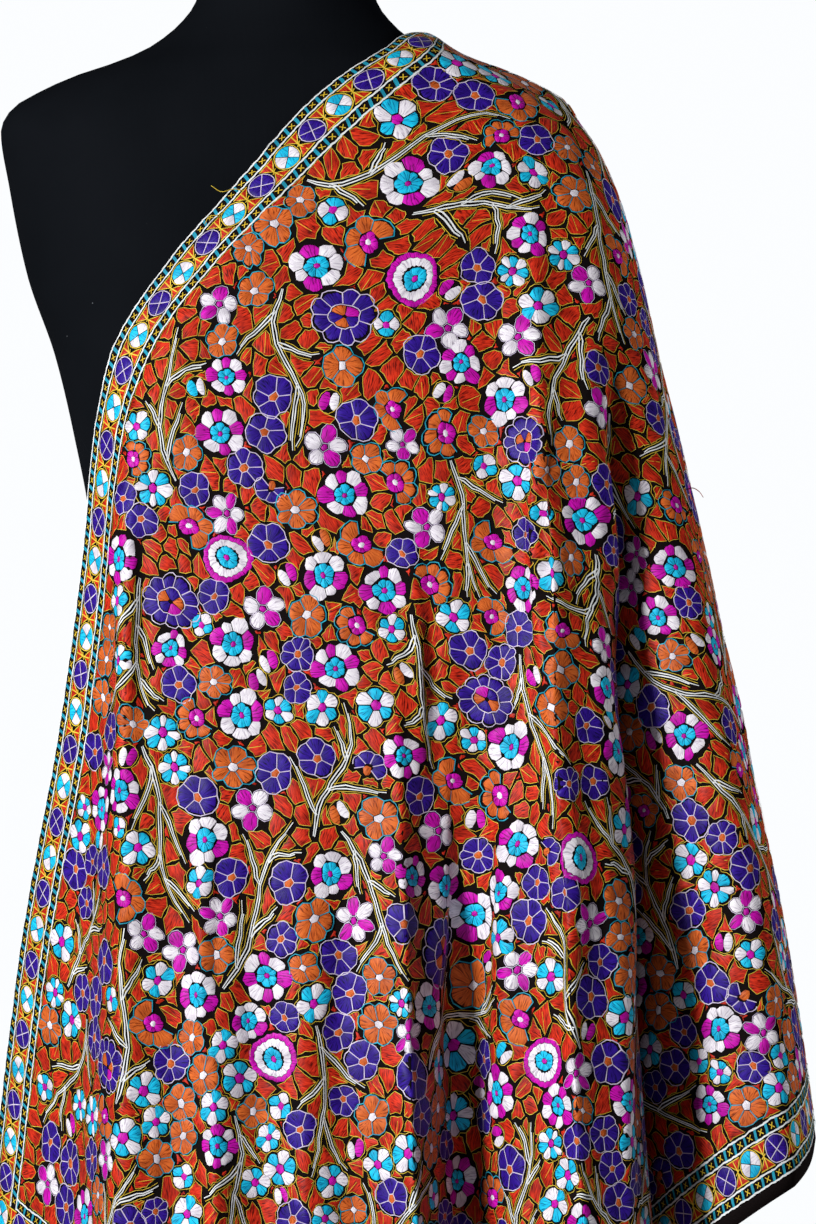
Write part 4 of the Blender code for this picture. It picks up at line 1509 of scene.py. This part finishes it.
def charted(chart, placed, sprays):
    for name, _, x, y, turn, scale, narrow in placed:
        radius = flowers[name]["radius"] * scale + 0.0004
        start, end, least = openFlowers.get(name, (0.0, 7.0, 1.0))

        def reachAt(angle):
            angle = angle - turn
            reach = radius / np.hypot(narrow * np.cos(angle), np.sin(angle) / narrow)
            own = np.arctan2(np.sin(angle) / narrow, np.cos(angle) * narrow)
            within = (own - start + 0.15) % (2 * math.pi) < end - start + 0.3
            return reach * np.where(within, 1.0, least)

        chart.cover(x, y, radius * narrow + 0.001, reachAt)
    reach = spray["reach"]
    for path in [path for paths in sprays for path in paths]:
        for x, y in np.concatenate([path, (path[1:] + path[:-1]) / 2]):
            chart.cover(x, y, reach + 0.001, lambda angle: reach + 0 * angle)


def borderSteps(offset, pitch, trim=0.0, even=1):
    # Even steps along the border's four sides: number, place, place half a step on, turn, length
    low, high = cornersInside(offset)
    corners = np.array([low, (high[0], low[1]), high, (low[0], high[1])])
    for number, (start, end) in enumerate(zip(corners, np.roll(corners, -1, axis=0))):
        way = (end - start) / np.linalg.norm(end - start)
        shift = way * (trim if number % 2 else -trim)
        start, end = start + shift, end - shift
        length = np.linalg.norm(end - start)
        count = even * round(length / pitch / even)
        turn = math.atan2(way[1], way[0])
        for k in range(count):
            here = start + way * length * k / count
            yield k, here, start + way * length * (k + 0.5) / count, turn, length / count


def placeBorder():
    # Ladders and the band of round flowers, all round the cloth
    placed = []
    half = border["ladder"] / 2
    for offset in (half, borderWidth - half):
        for _, (x, y), _, turn, step in borderSteps(offset, border["rung"], half):
            placed.append(("ladder", 0, x, y, turn, step / border["rung"], 1.0))
    middle = border["ladder"] + border["band"] / 2
    for k, (x, y), between, turn, _ in borderSteps(middle, border["medallionPitch"], even=2):
        kind = "medallionPurple" if k % 2 else "medallionBlue"
        placed.append((kind, 0, x, y, turn + 0.35 * math.sin(3.7 * k), 1.0, 1.0))
        placed.append(("between", 0, *between, turn, 1.0, 1.0))
    return placed


def motifPoints(colour, placed):
    # Loose points that carry each motif's number, turn and size
    rows = []
    for name, number, x, y, turn, scale, narrow in placed:
        numbers = motifNumbers[(name, number)]
        if colour in numbers:
            rows.append((x, y, turn, numbers[colour], scale / narrow, scale * narrow, scale))
    mesh = bpy.data.meshes.new("points_" + colour)
    mesh.from_pydata([(row[0], row[1], 0.0) for row in rows], [], [])
    for name, kind, column in (("turn", "FLOAT", 2), ("motif", "INT", 3)):
        layer = mesh.attributes.new(name, kind, "POINT")
        layer.data.foreach_set("value", [row[column] for row in rows])
    layer = mesh.attributes.new("size", "FLOAT_VECTOR", "POINT")
    layer.data.foreach_set("vector", [part for row in rows for part in row[4:]])
    return mesh


def stitchTree():
    # Puts motifs at their points, joins the drawn shapes, and lays it all on the draped cloth
    tree = bpy.data.node_groups.new("stitchOnCloth", "GeometryNodeTree")
    for name, kind in (
        ("Geometry", "Geometry"),
        ("Motifs", "Collection"),
        ("Drawn", "Object"),
        ("Cloth", "Object"),
        ("Silk", "Material"),
        ("Wobble", "Float"),
        ("Wobble Length", "Float"),
        ("Cloth Length", "Float"),
        ("Cloth Width", "Float"),
    ):
        tree.interface.new_socket(name=name, in_out="INPUT", socket_type="NodeSocket" + kind)
    tree.interface.new_socket(name="Geometry", in_out="OUTPUT", socket_type="NodeSocketGeometry")
    given = tree.nodes.new("NodeGroupInput").outputs

    def geometry(kind, output, inputs=None, **settings):
        return addNode(tree, "GeometryNode" + kind, output, inputs, **settings)

    def attribute(name, kind):
        return geometry("InputNamedAttribute", "Attribute", {"Name": name}, data_type=kind)

    def vector(operation, first, second):
        return addNode(tree, "ShaderNodeVectorMath", "Vector", {0: first, 1: second}, operation=operation)

    def scaled(way, factor):
        return addNode(tree, "ShaderNodeVectorMath", "Vector", {0: way, "Scale": factor}, operation="SCALE")

    motifs = {"Collection": given["Motifs"], "Separate Children": True, "Reset Children": True}
    copies = geometry("InstanceOnPoints", "Instances", {
        "Points": given["Geometry"],
        "Instance": geometry("CollectionInfo", "Instances", motifs),
        "Pick Instance": True,
        "Instance Index": attribute("motif", "INT"),
        "Rotation": addNode(tree, "ShaderNodeCombineXYZ", "Vector", {"Z": attribute("turn", "FLOAT")}),
        "Scale": attribute("size", "FLOAT_VECTOR"),
    })
    sewn = geometry("RealizeInstances", "Geometry", {"Geometry": copies})
    joined = geometry("JoinGeometry", "Geometry", {"Geometry": sewn})
    drawn = geometry("ObjectInfo", "Geometry", {"Object": given["Drawn"]})
    setInputs(tree, joined.node, {"Geometry": drawn})
    # A hand's unevenness, the same for every colour
    here = geometry("InputPosition", "Position")
    onCloth = (1.0, 1.0, 0.0)
    often = addNode(tree, "ShaderNodeMath", 0, {0: 1.0, 1: given["Wobble Length"]}, operation="DIVIDE")
    wobble = {"Vector": vector("MULTIPLY", here, onCloth), "Scale": often, "Detail": 1.0}
    wobble = vector("SUBTRACT", addNode(tree, "ShaderNodeTexNoise", "Color", wobble), (0.5, 0.5, 0.5))
    moved = vector("ADD", here, scaled(vector("MULTIPLY", wobble, onCloth), given["Wobble"]))
    size = {"X": given["Cloth Length"], "Y": given["Cloth Width"], "Z": 1.0}
    size = addNode(tree, "ShaderNodeCombineXYZ", "Vector", size)
    place = vector("DIVIDE", vector("ADD", moved, vector("MULTIPLY", size, (0.5, 0.0, 0.0))), size)
    place = vector("MINIMUM", vector("MAXIMUM", place, (0.0005, 0.0005, -1.0)), (0.9995, 0.9995, 1.0))
    kept = {"Geometry": joined, "Name": "OFBake", "Value": place}
    kept = geometry("StoreNamedAttribute", "Geometry", kept, data_type="FLOAT2", domain="CORNER")
    skin = geometry("ObjectInfo", "Geometry", {"Object": given["Cloth"]})

    def sampled(value):
        own = attribute("OFBake", "FLOAT_VECTOR")
        inputs = {"Mesh": skin, "Value": value, "UV Map": own, "Sample UV": place}
        return geometry("SampleUVSurface", "Value", inputs, data_type="FLOAT_VECTOR")

    height = addNode(tree, "ShaderNodeSeparateXYZ", "Z", {"Vector": here})
    raised = scaled(sampled(attribute("outward", "FLOAT_VECTOR")), height)
    laid = {"Geometry": kept, "Position": vector("ADD", sampled(here), raised)}
    laid = geometry("SetPosition", "Geometry", laid)
    dyed = geometry("SetMaterial", "Geometry", {"Geometry": laid, "Material": given["Silk"]})
    setInputs(tree, tree.nodes.new("NodeGroupOutput"), {"Geometry": dyed})
    return tree


def sewColour(colour, placed, drawn, tree, skin):
    # One piece for each silk colour
    shelf = bpy.data.collections.new("motifs_" + colour)
    for number, mesh in enumerate(motifMeshes[colour]):
        shelf.objects.link(bpy.data.objects.new(f"motif_{colour}_{number:03d}", mesh))
    piece = linkPiece("silk_" + colour, motifPoints(colour, placed))
    live = piece.modifiers.new("stitches", "NODES")
    live.node_group = tree
    values = {
        "Motifs": shelf,
        "Cloth": skin,
        "Silk": silkMaterial(colour, silk[colour]),
        "Wobble": stitchWork["wobble"],
        "Wobble Length": stitchWork["wobbleLength"],
        "Cloth Length": 2 * cloth["halfLength"],
        "Cloth Width": cloth["width"],
    }
    if drawn[colour]["verts"]:
        name = "drawn_" + colour
        values["Drawn"] = bpy.data.objects.new(name, sketchMesh(name, drawn[colour]))
    for item in tree.interface.items_tree:
        if item.in_out == "INPUT" and item.name in values:
            live[item.identifier] = values[item.name]
    return madePlain(piece, live)


wool = {
    "face": ((0.003, 0.002, 0.002), (0.012, 0.008, 0.008)),
    "twillScale": 300.0,
    "fuzzScale": 900.0,
    "roughness": 0.9,
    "patchScale": 95.0,
    "stitchScale": 700.0,
    "backRed": (0.16, 0.015, 0.01),
    # Above which level each other colour crosses on the back
    "backColours": (
        (0.45, "purple"), (0.60, "orange"), (0.74, "turquoise"), (0.84, "magenta"), (0.91, "white"),
    ),
    "backDark": (0.01, 0.008, 0.008),
    "backSeam": (0.008, 0.006, 0.006),
}


def woolMaterials():
    # The black wool's face, and its back with the threads that cross there
    size = (2 * cloth["halfLength"], cloth["width"], 1)
    face, tree, shader = newMaterial("wool_face")
    place = uvPlace(tree, "OFBake", size)
    twill = {"Vector": place, "Scale": wool["twillScale"], "Distortion": 1.5}
    twill = addNode(tree, "ShaderNodeTexWave", "Fac", twill, bands_direction="DIAGONAL")
    setInputs(tree, shader, {
        "Base Color": mixColours(tree, noise(tree, place, wool["fuzzScale"], 2.0), *wool["face"]),
        "Normal": bumped(tree, twill, 0.4, 0.0002),
        "Roughness": wool["roughness"],
        "Specular IOR Level": 0.04,
    })
    back, tree, shader = newMaterial("wool_back")
    place = uvPlace(tree, "OFBake", size)
    patch = addNode(tree, "ShaderNodeTexVoronoi", "Color", {"Vector": place, "Scale": wool["patchScale"]})
    level = addNode(tree, "ShaderNodeSeparateColor", "Red", {"Color": patch})
    chosen = wool["backRed"]
    for above, name in wool["backColours"]:
        pick = addNode(tree, "ShaderNodeMath", 0, {0: level, 1: above}, operation="GREATER_THAN")
        chosen = mixColours(tree, pick, chosen, dimmed(silk[name]["colour"], 0.5))
    stitched = noise(tree, place, wool["stitchScale"], 2.0)
    grain = mixColours(tree, ramp(tree, stitched, 0.40, 0.62), wool["backDark"], chosen)
    seam = ramp(tree, patch.node.outputs["Distance"], 0.5, 0.62)
    setInputs(tree, shader, {
        "Base Color": mixColours(tree, seam, grain, wool["backSeam"]),
        "Normal": bumped(tree, stitched, 0.5, 0.0003),
        "Roughness": wool["roughness"],
        "Specular IOR Level": 0.10,
    })
    return face, back


def madePlain(piece, live):
    # Keeps the evaluated shape as a plain mesh and takes the modifier off
    graph = bpy.context.evaluated_depsgraph_get()
    mesh = bpy.data.meshes.new_from_object(piece.evaluated_get(graph))
    piece.modifiers.remove(live)
    piece.data = mesh
    mesh.name = piece.name
    return piece


def makeGround():
    # The wool itself: a thin wall just under the stitches' own surface
    mesh = skinMesh("wool_ground", clothGrid - clothNormals * cloth["sinkGround"], clothFlat)
    for look in woolMaterials():
        mesh.materials.append(look)
    piece = linkPiece("shawl_ground", mesh)
    wall = piece.modifiers.new("wall", "SOLIDIFY")
    wall.thickness = cloth["wall"]
    wall.offset = -1
    wall.material_offset = 1
    return madePlain(piece, wall)


def makeSkin():
    # The surface that stitches are laid on, a helper that isn't shown
    mesh = skinMesh("stitch_skin", clothGrid, clothFlat)
    outward = mesh.attributes.new("outward", "FLOAT_VECTOR", "POINT")
    normals = np.concatenate([clothNormals[0, :1], clothNormals[1:].reshape(-1, 3)])
    outward.data.foreach_set("vector", normals.astype(np.float32).ravel())
    return bpy.data.objects.new("stitch_skin", mesh)


def makeEmbroidery():
    rng = np.random.default_rng(field["seed"])
    crowd = Crowd()
    placed = placeSeen(crowd, rng)
    sprays = placeSprays(crowd, rng)
    fixed = [circle for circles in crowd.cells.values() for circle in circles]
    placed += placeFlowers(np.array(fixed), rng)
    print("flowers:", len(placed), "sprays:", len(sprays))
    chart = Chart()
    charted(chart, placed, sprays)
    drawn = newSketch()
    total = 0
    for pitch, least, longest in leaves["rounds"]:
        seeds = leafSeeds(chart, pitch, least, rng)
        if len(seeds) < leaves["fewest"]:
            break
        turns, reach = growLeaves(chart, seeds, rng, longest)
        sewLeaves(drawn, chart, seeds, turns, reach, rng)
        total += len(seeds)
    print("leaves:", total)
    for paths in sprays:
        sewSpray(drawn, paths, rng)
    placed += placeBorder()
    tree = stitchTree()
    skin = makeSkin()
    pieces = [sewColour(colour, placed, drawn, tree, skin) for colour in silk]
    for piece in pieces:
        print(piece.name, sum(len(face.vertices) - 2 for face in piece.data.polygons), "triangles")
    for helper in list(bpy.data.objects):
        if helper.name.startswith(("motif_", "drawn_", "stitch_skin")):
            bpy.data.objects.remove(helper)
    return pieces


def pieceFrom(bm, name, look, smooth=True):
    mesh = bpy.data.meshes.new(name)
    bm.to_mesh(mesh)
    bm.free()
    if smooth:
        mesh.shade_smooth()
    mesh.materials.append(look)
    return linkPiece(name, mesh)


# The dress form and its stand
form = {
    "segments": 128,
    "ringStep": 0.006,
    "rim": 0.006,
    "colours": ((0.0024, 0.0032, 0.0046), (0.0055, 0.0066, 0.0090)),
    "lint": (0.12, 0.13, 0.14),
    "knitScale": 420.0,
    "lintScale": 42.0,
}


def jersey():
    look, tree, shader = newMaterial("black_jersey")
    place = addNode(tree, "ShaderNodeTexCoord", "Object")
    knit = {"Vector": place, "Scale": form["knitScale"], "Distortion": 2.0}
    knit = addNode(tree, "ShaderNodeTexWave", "Fac", knit, bands_direction="X")
    specks = addNode(tree, "ShaderNodeTexVoronoi", "Distance", {"Vector": place, "Scale": form["lintScale"]})
    shade = mixColours(tree, noise(tree, place, 14.0, 3.0), *form["colours"])
    setInputs(tree, shader, {
        "Base Color": mixColours(tree, ramp(tree, specks, 0.022, 0.012), shade, form["lint"]),
        "Normal": bumped(tree, knit, 0.25, 0.0002),
        "Roughness": 0.85,
        "Specular IOR Level": 0.04,
    })
    return look


def makeForm():
    start, end = formSections[0][0], formSections[-1][0]
    drops = [start]
    while drops[-1] < end - tiny:
        drops.append(min(drops[-1] + form["ringStep"], end))
    segments = form["segments"]
    turn = np.linspace(0, 2 * math.pi, segments, endpoint=False)
    cos, sin = np.cos(turn), np.sin(turn)
    bm = bmesh.new()
    rings = []

    def addRing(drop, level, shrink):
        # level is where the section is read, drop where the ring lies
        power = 2 / formAt("squareness", level)
        wide = formAt("halfWidth", level)
        x = wide * np.sign(cos) * np.abs(cos) ** power
        y = formDepth(x, level, sin < 0) * np.sign(sin) * np.abs(sin) ** power
        share = (wide - shrink) / wide
        height = cloth["neckHeight"] - drop
        rings.append([bm.verts.new((px * share, py * share, height)) for px, py in zip(x, y)])

    rim = form["rim"]
    lean = [math.radians(angle) for angle in (0, 22.5, 45, 67.5)]
    for angle in lean:
        addRing(start + rim * (1 - math.cos(angle)), start, rim * (1 - math.sin(angle)))
    for drop in drops:
        if start + rim < drop < end - rim:
            addRing(drop, drop, 0.0)
    for angle in reversed(lean):
        addRing(end - rim * (1 - math.cos(angle)), end, rim * (1 - math.sin(angle)))
    for upper, lower in zip(rings[:-1], rings[1:]):
        for k in range(segments):
            after = (k + 1) % segments
            bm.faces.new((upper[k], lower[k], lower[after], upper[after]))
    for ring, height in ((rings[0], start), (rings[-1], end)):
        middle = bm.verts.new((0, 0, cloth["neckHeight"] - height))
        for k in range(segments):
            bm.faces.new((ring[k], ring[(k + 1) % segments], middle))
    bmesh.ops.recalc_face_normals(bm, faces=bm.faces)
    return pieceFrom(bm, "form_torso", jersey())


stand = {
    "poleRadius": 0.0125,
    "hubRadius": 0.024,
    "hubHeight": 0.060,
    "baseRadius": 0.170,
    "baseHeight": 0.012,
    "rounding": 0.003,
    "seatGap": 0.0003,
    "segments": 96,
    "colours": ((0.008, 0.008, 0.009), (0.022, 0.022, 0.024)),
    "wearScale": 18.0,
    "grainScale": 600.0,
}


def turned(name, profile, look):
    # A solid turned from (radius, height) points, bottom to top, which starts and ends on its axis
    bm = bmesh.new()
    segments = stand["segments"]
    turns = 2 * math.pi * np.arange(segments) / segments
    foot, top = [bm.verts.new((0, 0, profile[end][1])) for end in (0, -1)]
    rings = [
        [bm.verts.new((radius * math.cos(turn), radius * math.sin(turn), height)) for turn in turns]
        for radius, height in profile[1:-1]
    ]
    for k in range(segments):
        after = (k + 1) % segments
        bm.faces.new((foot, rings[0][after], rings[0][k]))
        for lower, upper in zip(rings[:-1], rings[1:]):
            bm.faces.new((lower[k], lower[after], upper[after], upper[k]))
        bm.faces.new((rings[-1][k], rings[-1][after], top))
    piece = pieceFrom(bm, name, look)
    piece.data.set_sharp_from_angle(angle=math.radians(35))
    return piece


def roundedCorner(radius, height, rounding, upward, steps=4):
    # Points round an outer corner, from below to above
    points = []
    for k in range(steps + 1):
        turn = math.pi / 2 * k / steps
        short, long = rounding * (1 - math.cos(turn)), rounding * (1 - math.sin(turn))
        points.append((radius - short, height - long) if upward else (radius - long, height + short))
    return points


def makeStand():
    look, tree, shader = newMaterial("satin_black")
    place = addNode(tree, "ShaderNodeTexCoord", "Object")
    wear = noise(tree, place, stand["wearScale"], 4.0)
    setInputs(tree, shader, {
        "Base Color": mixColours(tree, wear, *stand["colours"]),
        "Roughness": ramp(tree, wear, -1.2, 2.2),
        "Normal": bumped(tree, noise(tree, place, stand["grainScale"], 2.0), 0.15, 0.0001),
        "Metallic": 0.3,
    })
    rounding, flat, hub = stand["rounding"], stand["baseHeight"], stand["hubRadius"]
    hubTop = flat + stand["hubHeight"]
    base = turned("stand_base", [
        (0, 0),
        *roundedCorner(stand["baseRadius"], 0, rounding / 2, False),
        *roundedCorner(stand["baseRadius"], flat, rounding, True),
        (hub + rounding, flat),
        (hub, flat + rounding),
        *roundedCorner(hub, hubTop, rounding, True),
        (0, hubTop),
    ], look)
    radius, foot = stand["poleRadius"], hubTop + stand["seatGap"]
    top = cloth["neckHeight"] - cloth["formBottom"] - stand["seatGap"]
    return base, turned("stand_pole", [(0, foot), (radius, foot), (radius, top), (0, top)], look)


# Loose thread ends: the photo's pixel where one leaves the cloth, and its way on from there
looseThreads = (
    {
        "colour": "gold",
        "pixel": (243, 192),
        "way": ((-0.006, -0.002, 0.001), (-0.014, -0.005, -0.001), (-0.021, -0.004, 0.003)),
    },
    {
        "colour": "gold",
        "pixel": (222, 214),
        "way": ((-0.004, -0.003, -0.003), (-0.010, -0.005, -0.004), (-0.013, -0.004, -0.009)),
    },
    {
        "colour": "red",
        "pixel": (690, 488),
        "way": ((0.004, -0.002, 0.001), (0.008, -0.003, -0.001), (0.011, -0.002, -0.005)),
    },
)
threadRadius = 0.0004


def makeLooseThread(number, given):
    # A thin tube along the thread's way
    start = clothGrid[nearestSeen(*given["pixel"])]
    path = start + np.concatenate([[(0, 0.001, 0)], np.array(given["way"])])
    stops = np.linspace(0, len(path) - 1, 3 * len(path))
    path = np.column_stack([monotone(stops, np.arange(len(path)), path[:, k]) for k in range(3)])
    sides = 5
    along = unit(np.gradient(path, axis=0))
    first = unit(np.cross(along, (0.3, 0.2, 1.0)))
    second = np.cross(along, first)
    radii = threadRadius * np.linspace(1, 0.5, len(path))
    verts, places = [], []
    for k, point in enumerate(path):
        for turn in 2 * math.pi * np.arange(sides) / sides:
            verts.append(tuple(point + radii[k] * (math.cos(turn) * first[k] + math.sin(turn) * second[k])))
            places.append((turn * threadRadius, 0.002 * k))
    faces = [tuple(reversed(range(sides))), tuple(range(len(verts) - sides, len(verts)))]
    for k in range(0, len(verts) - sides, sides):
        for side in range(sides):
            after = k + (side + 1) % sides
            faces.append((k + side, after, after + sides, k + side + sides))
    mesh = bpy.data.meshes.new("loose_thread")
    mesh.from_pydata(verts, [], faces)
    setUv(mesh, "threads", places)
    mesh.shade_smooth()
    mesh.materials.append(bpy.data.materials["silk_" + given["colour"]])
    return linkPiece(f"loose_thread_{number}", mesh)


studio = {
    "ambient": 0.032,
    "skyColour": (0.96, 0.98, 1.0, 1.0),
    "lamps": (
        {"name": "key", "place": (-2.10, -2.53, 1.75), "size": 0.6, "power": 131, "glossy": True},
        {"name": "side", "place": (2.5, 0.9, 1.5), "size": 0.9, "power": 38, "glossy": False},
        {"name": "rear", "place": (-0.6, 3.2, 1.5), "size": 1.6, "power": 60, "glossy": False},
    ),
    "aim": (0.05, 0.0, 0.95),
    "floorRadius": 3.9,  # further back it would rise into the photo's view
    "floorColour": (0.44, 0.44, 0.45, 1.0),
    "backdropRadius": 14.0,
    "backdropColour": (0.97, 0.985, 1.0, 1.0),
}


def makeLights():
    world = bpy.data.worlds.new("studio")
    bpy.context.scene.world = world
    world.use_nodes = True
    sky = {"Color": studio["skyColour"], "Strength": studio["ambient"]}
    setInputs(world.node_tree, world.node_tree.nodes["Background"], sky)
    for given in studio["lamps"]:
        data = bpy.data.lights.new(given["name"], "AREA")
        data.energy = given["power"]
        data.size = given["size"]
        lamp = bpy.data.objects.new(given["name"], data)
        lamp.location = given["place"]
        lamp.visible_glossy = given["glossy"]
        way = np.array(studio["aim"]) - np.array(given["place"])
        lean = math.atan2(math.hypot(way[0], way[1]), -way[2])
        lamp.rotation_euler = (lean, 0, math.atan2(way[1], way[0]) - math.pi / 2)
        bpy.context.scene.collection.objects.link(lamp)
    bpy.context.scene.view_settings.view_transform = "Standard"


def makeBackdrop():
    # A white dome that only the camera sees; the light comes from the world and the lamps
    bm = bmesh.new()
    bmesh.ops.create_icosphere(bm, subdivisions=4, radius=studio["backdropRadius"])
    bmesh.ops.reverse_faces(bm, faces=bm.faces)
    look, tree, shader = newMaterial("white_backdrop")
    setInputs(tree, shader, {
        "Base Color": (0, 0, 0, 1),
        "Specular IOR Level": 0.0,
        "Emission Color": studio["backdropColour"],
        "Emission Strength": 1.0,
    })
    dome = pieceFrom(bm, "backdrop", look, smooth=False)
    for ray in ("diffuse", "glossy", "transmission", "volume_scatter", "shadow"):
        setattr(dome, "visible_" + ray, False)


def makeFloor():
    bm = bmesh.new()
    bmesh.ops.create_circle(bm, cap_ends=True, radius=studio["floorRadius"], segments=96)
    look, tree, shader = newMaterial("pale_floor")
    setInputs(tree, shader, {"Base Color": studio["floorColour"], "Roughness": 0.8})
    pieceFrom(bm, "floor", look, smooth=False)


ground = makeGround()
print("wool ground made")
silkPieces = makeEmbroidery()
silkPieces += [makeLooseThread(number, given) for number, given in enumerate(looseThreads)]
print("embroidery laid on the cloth")
torso = makeForm()
base, pole = makeStand()
print("form and stand made")
makeFloor()
makeBackdrop()
makeLights()

for piece in (ground, *silkPieces):
    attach(piece, "root")
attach(torso, "root")
for piece in (base, pole):
    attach(piece, "root")
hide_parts("shawl")
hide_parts("dress_form")
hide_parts("base")
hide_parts("pole")
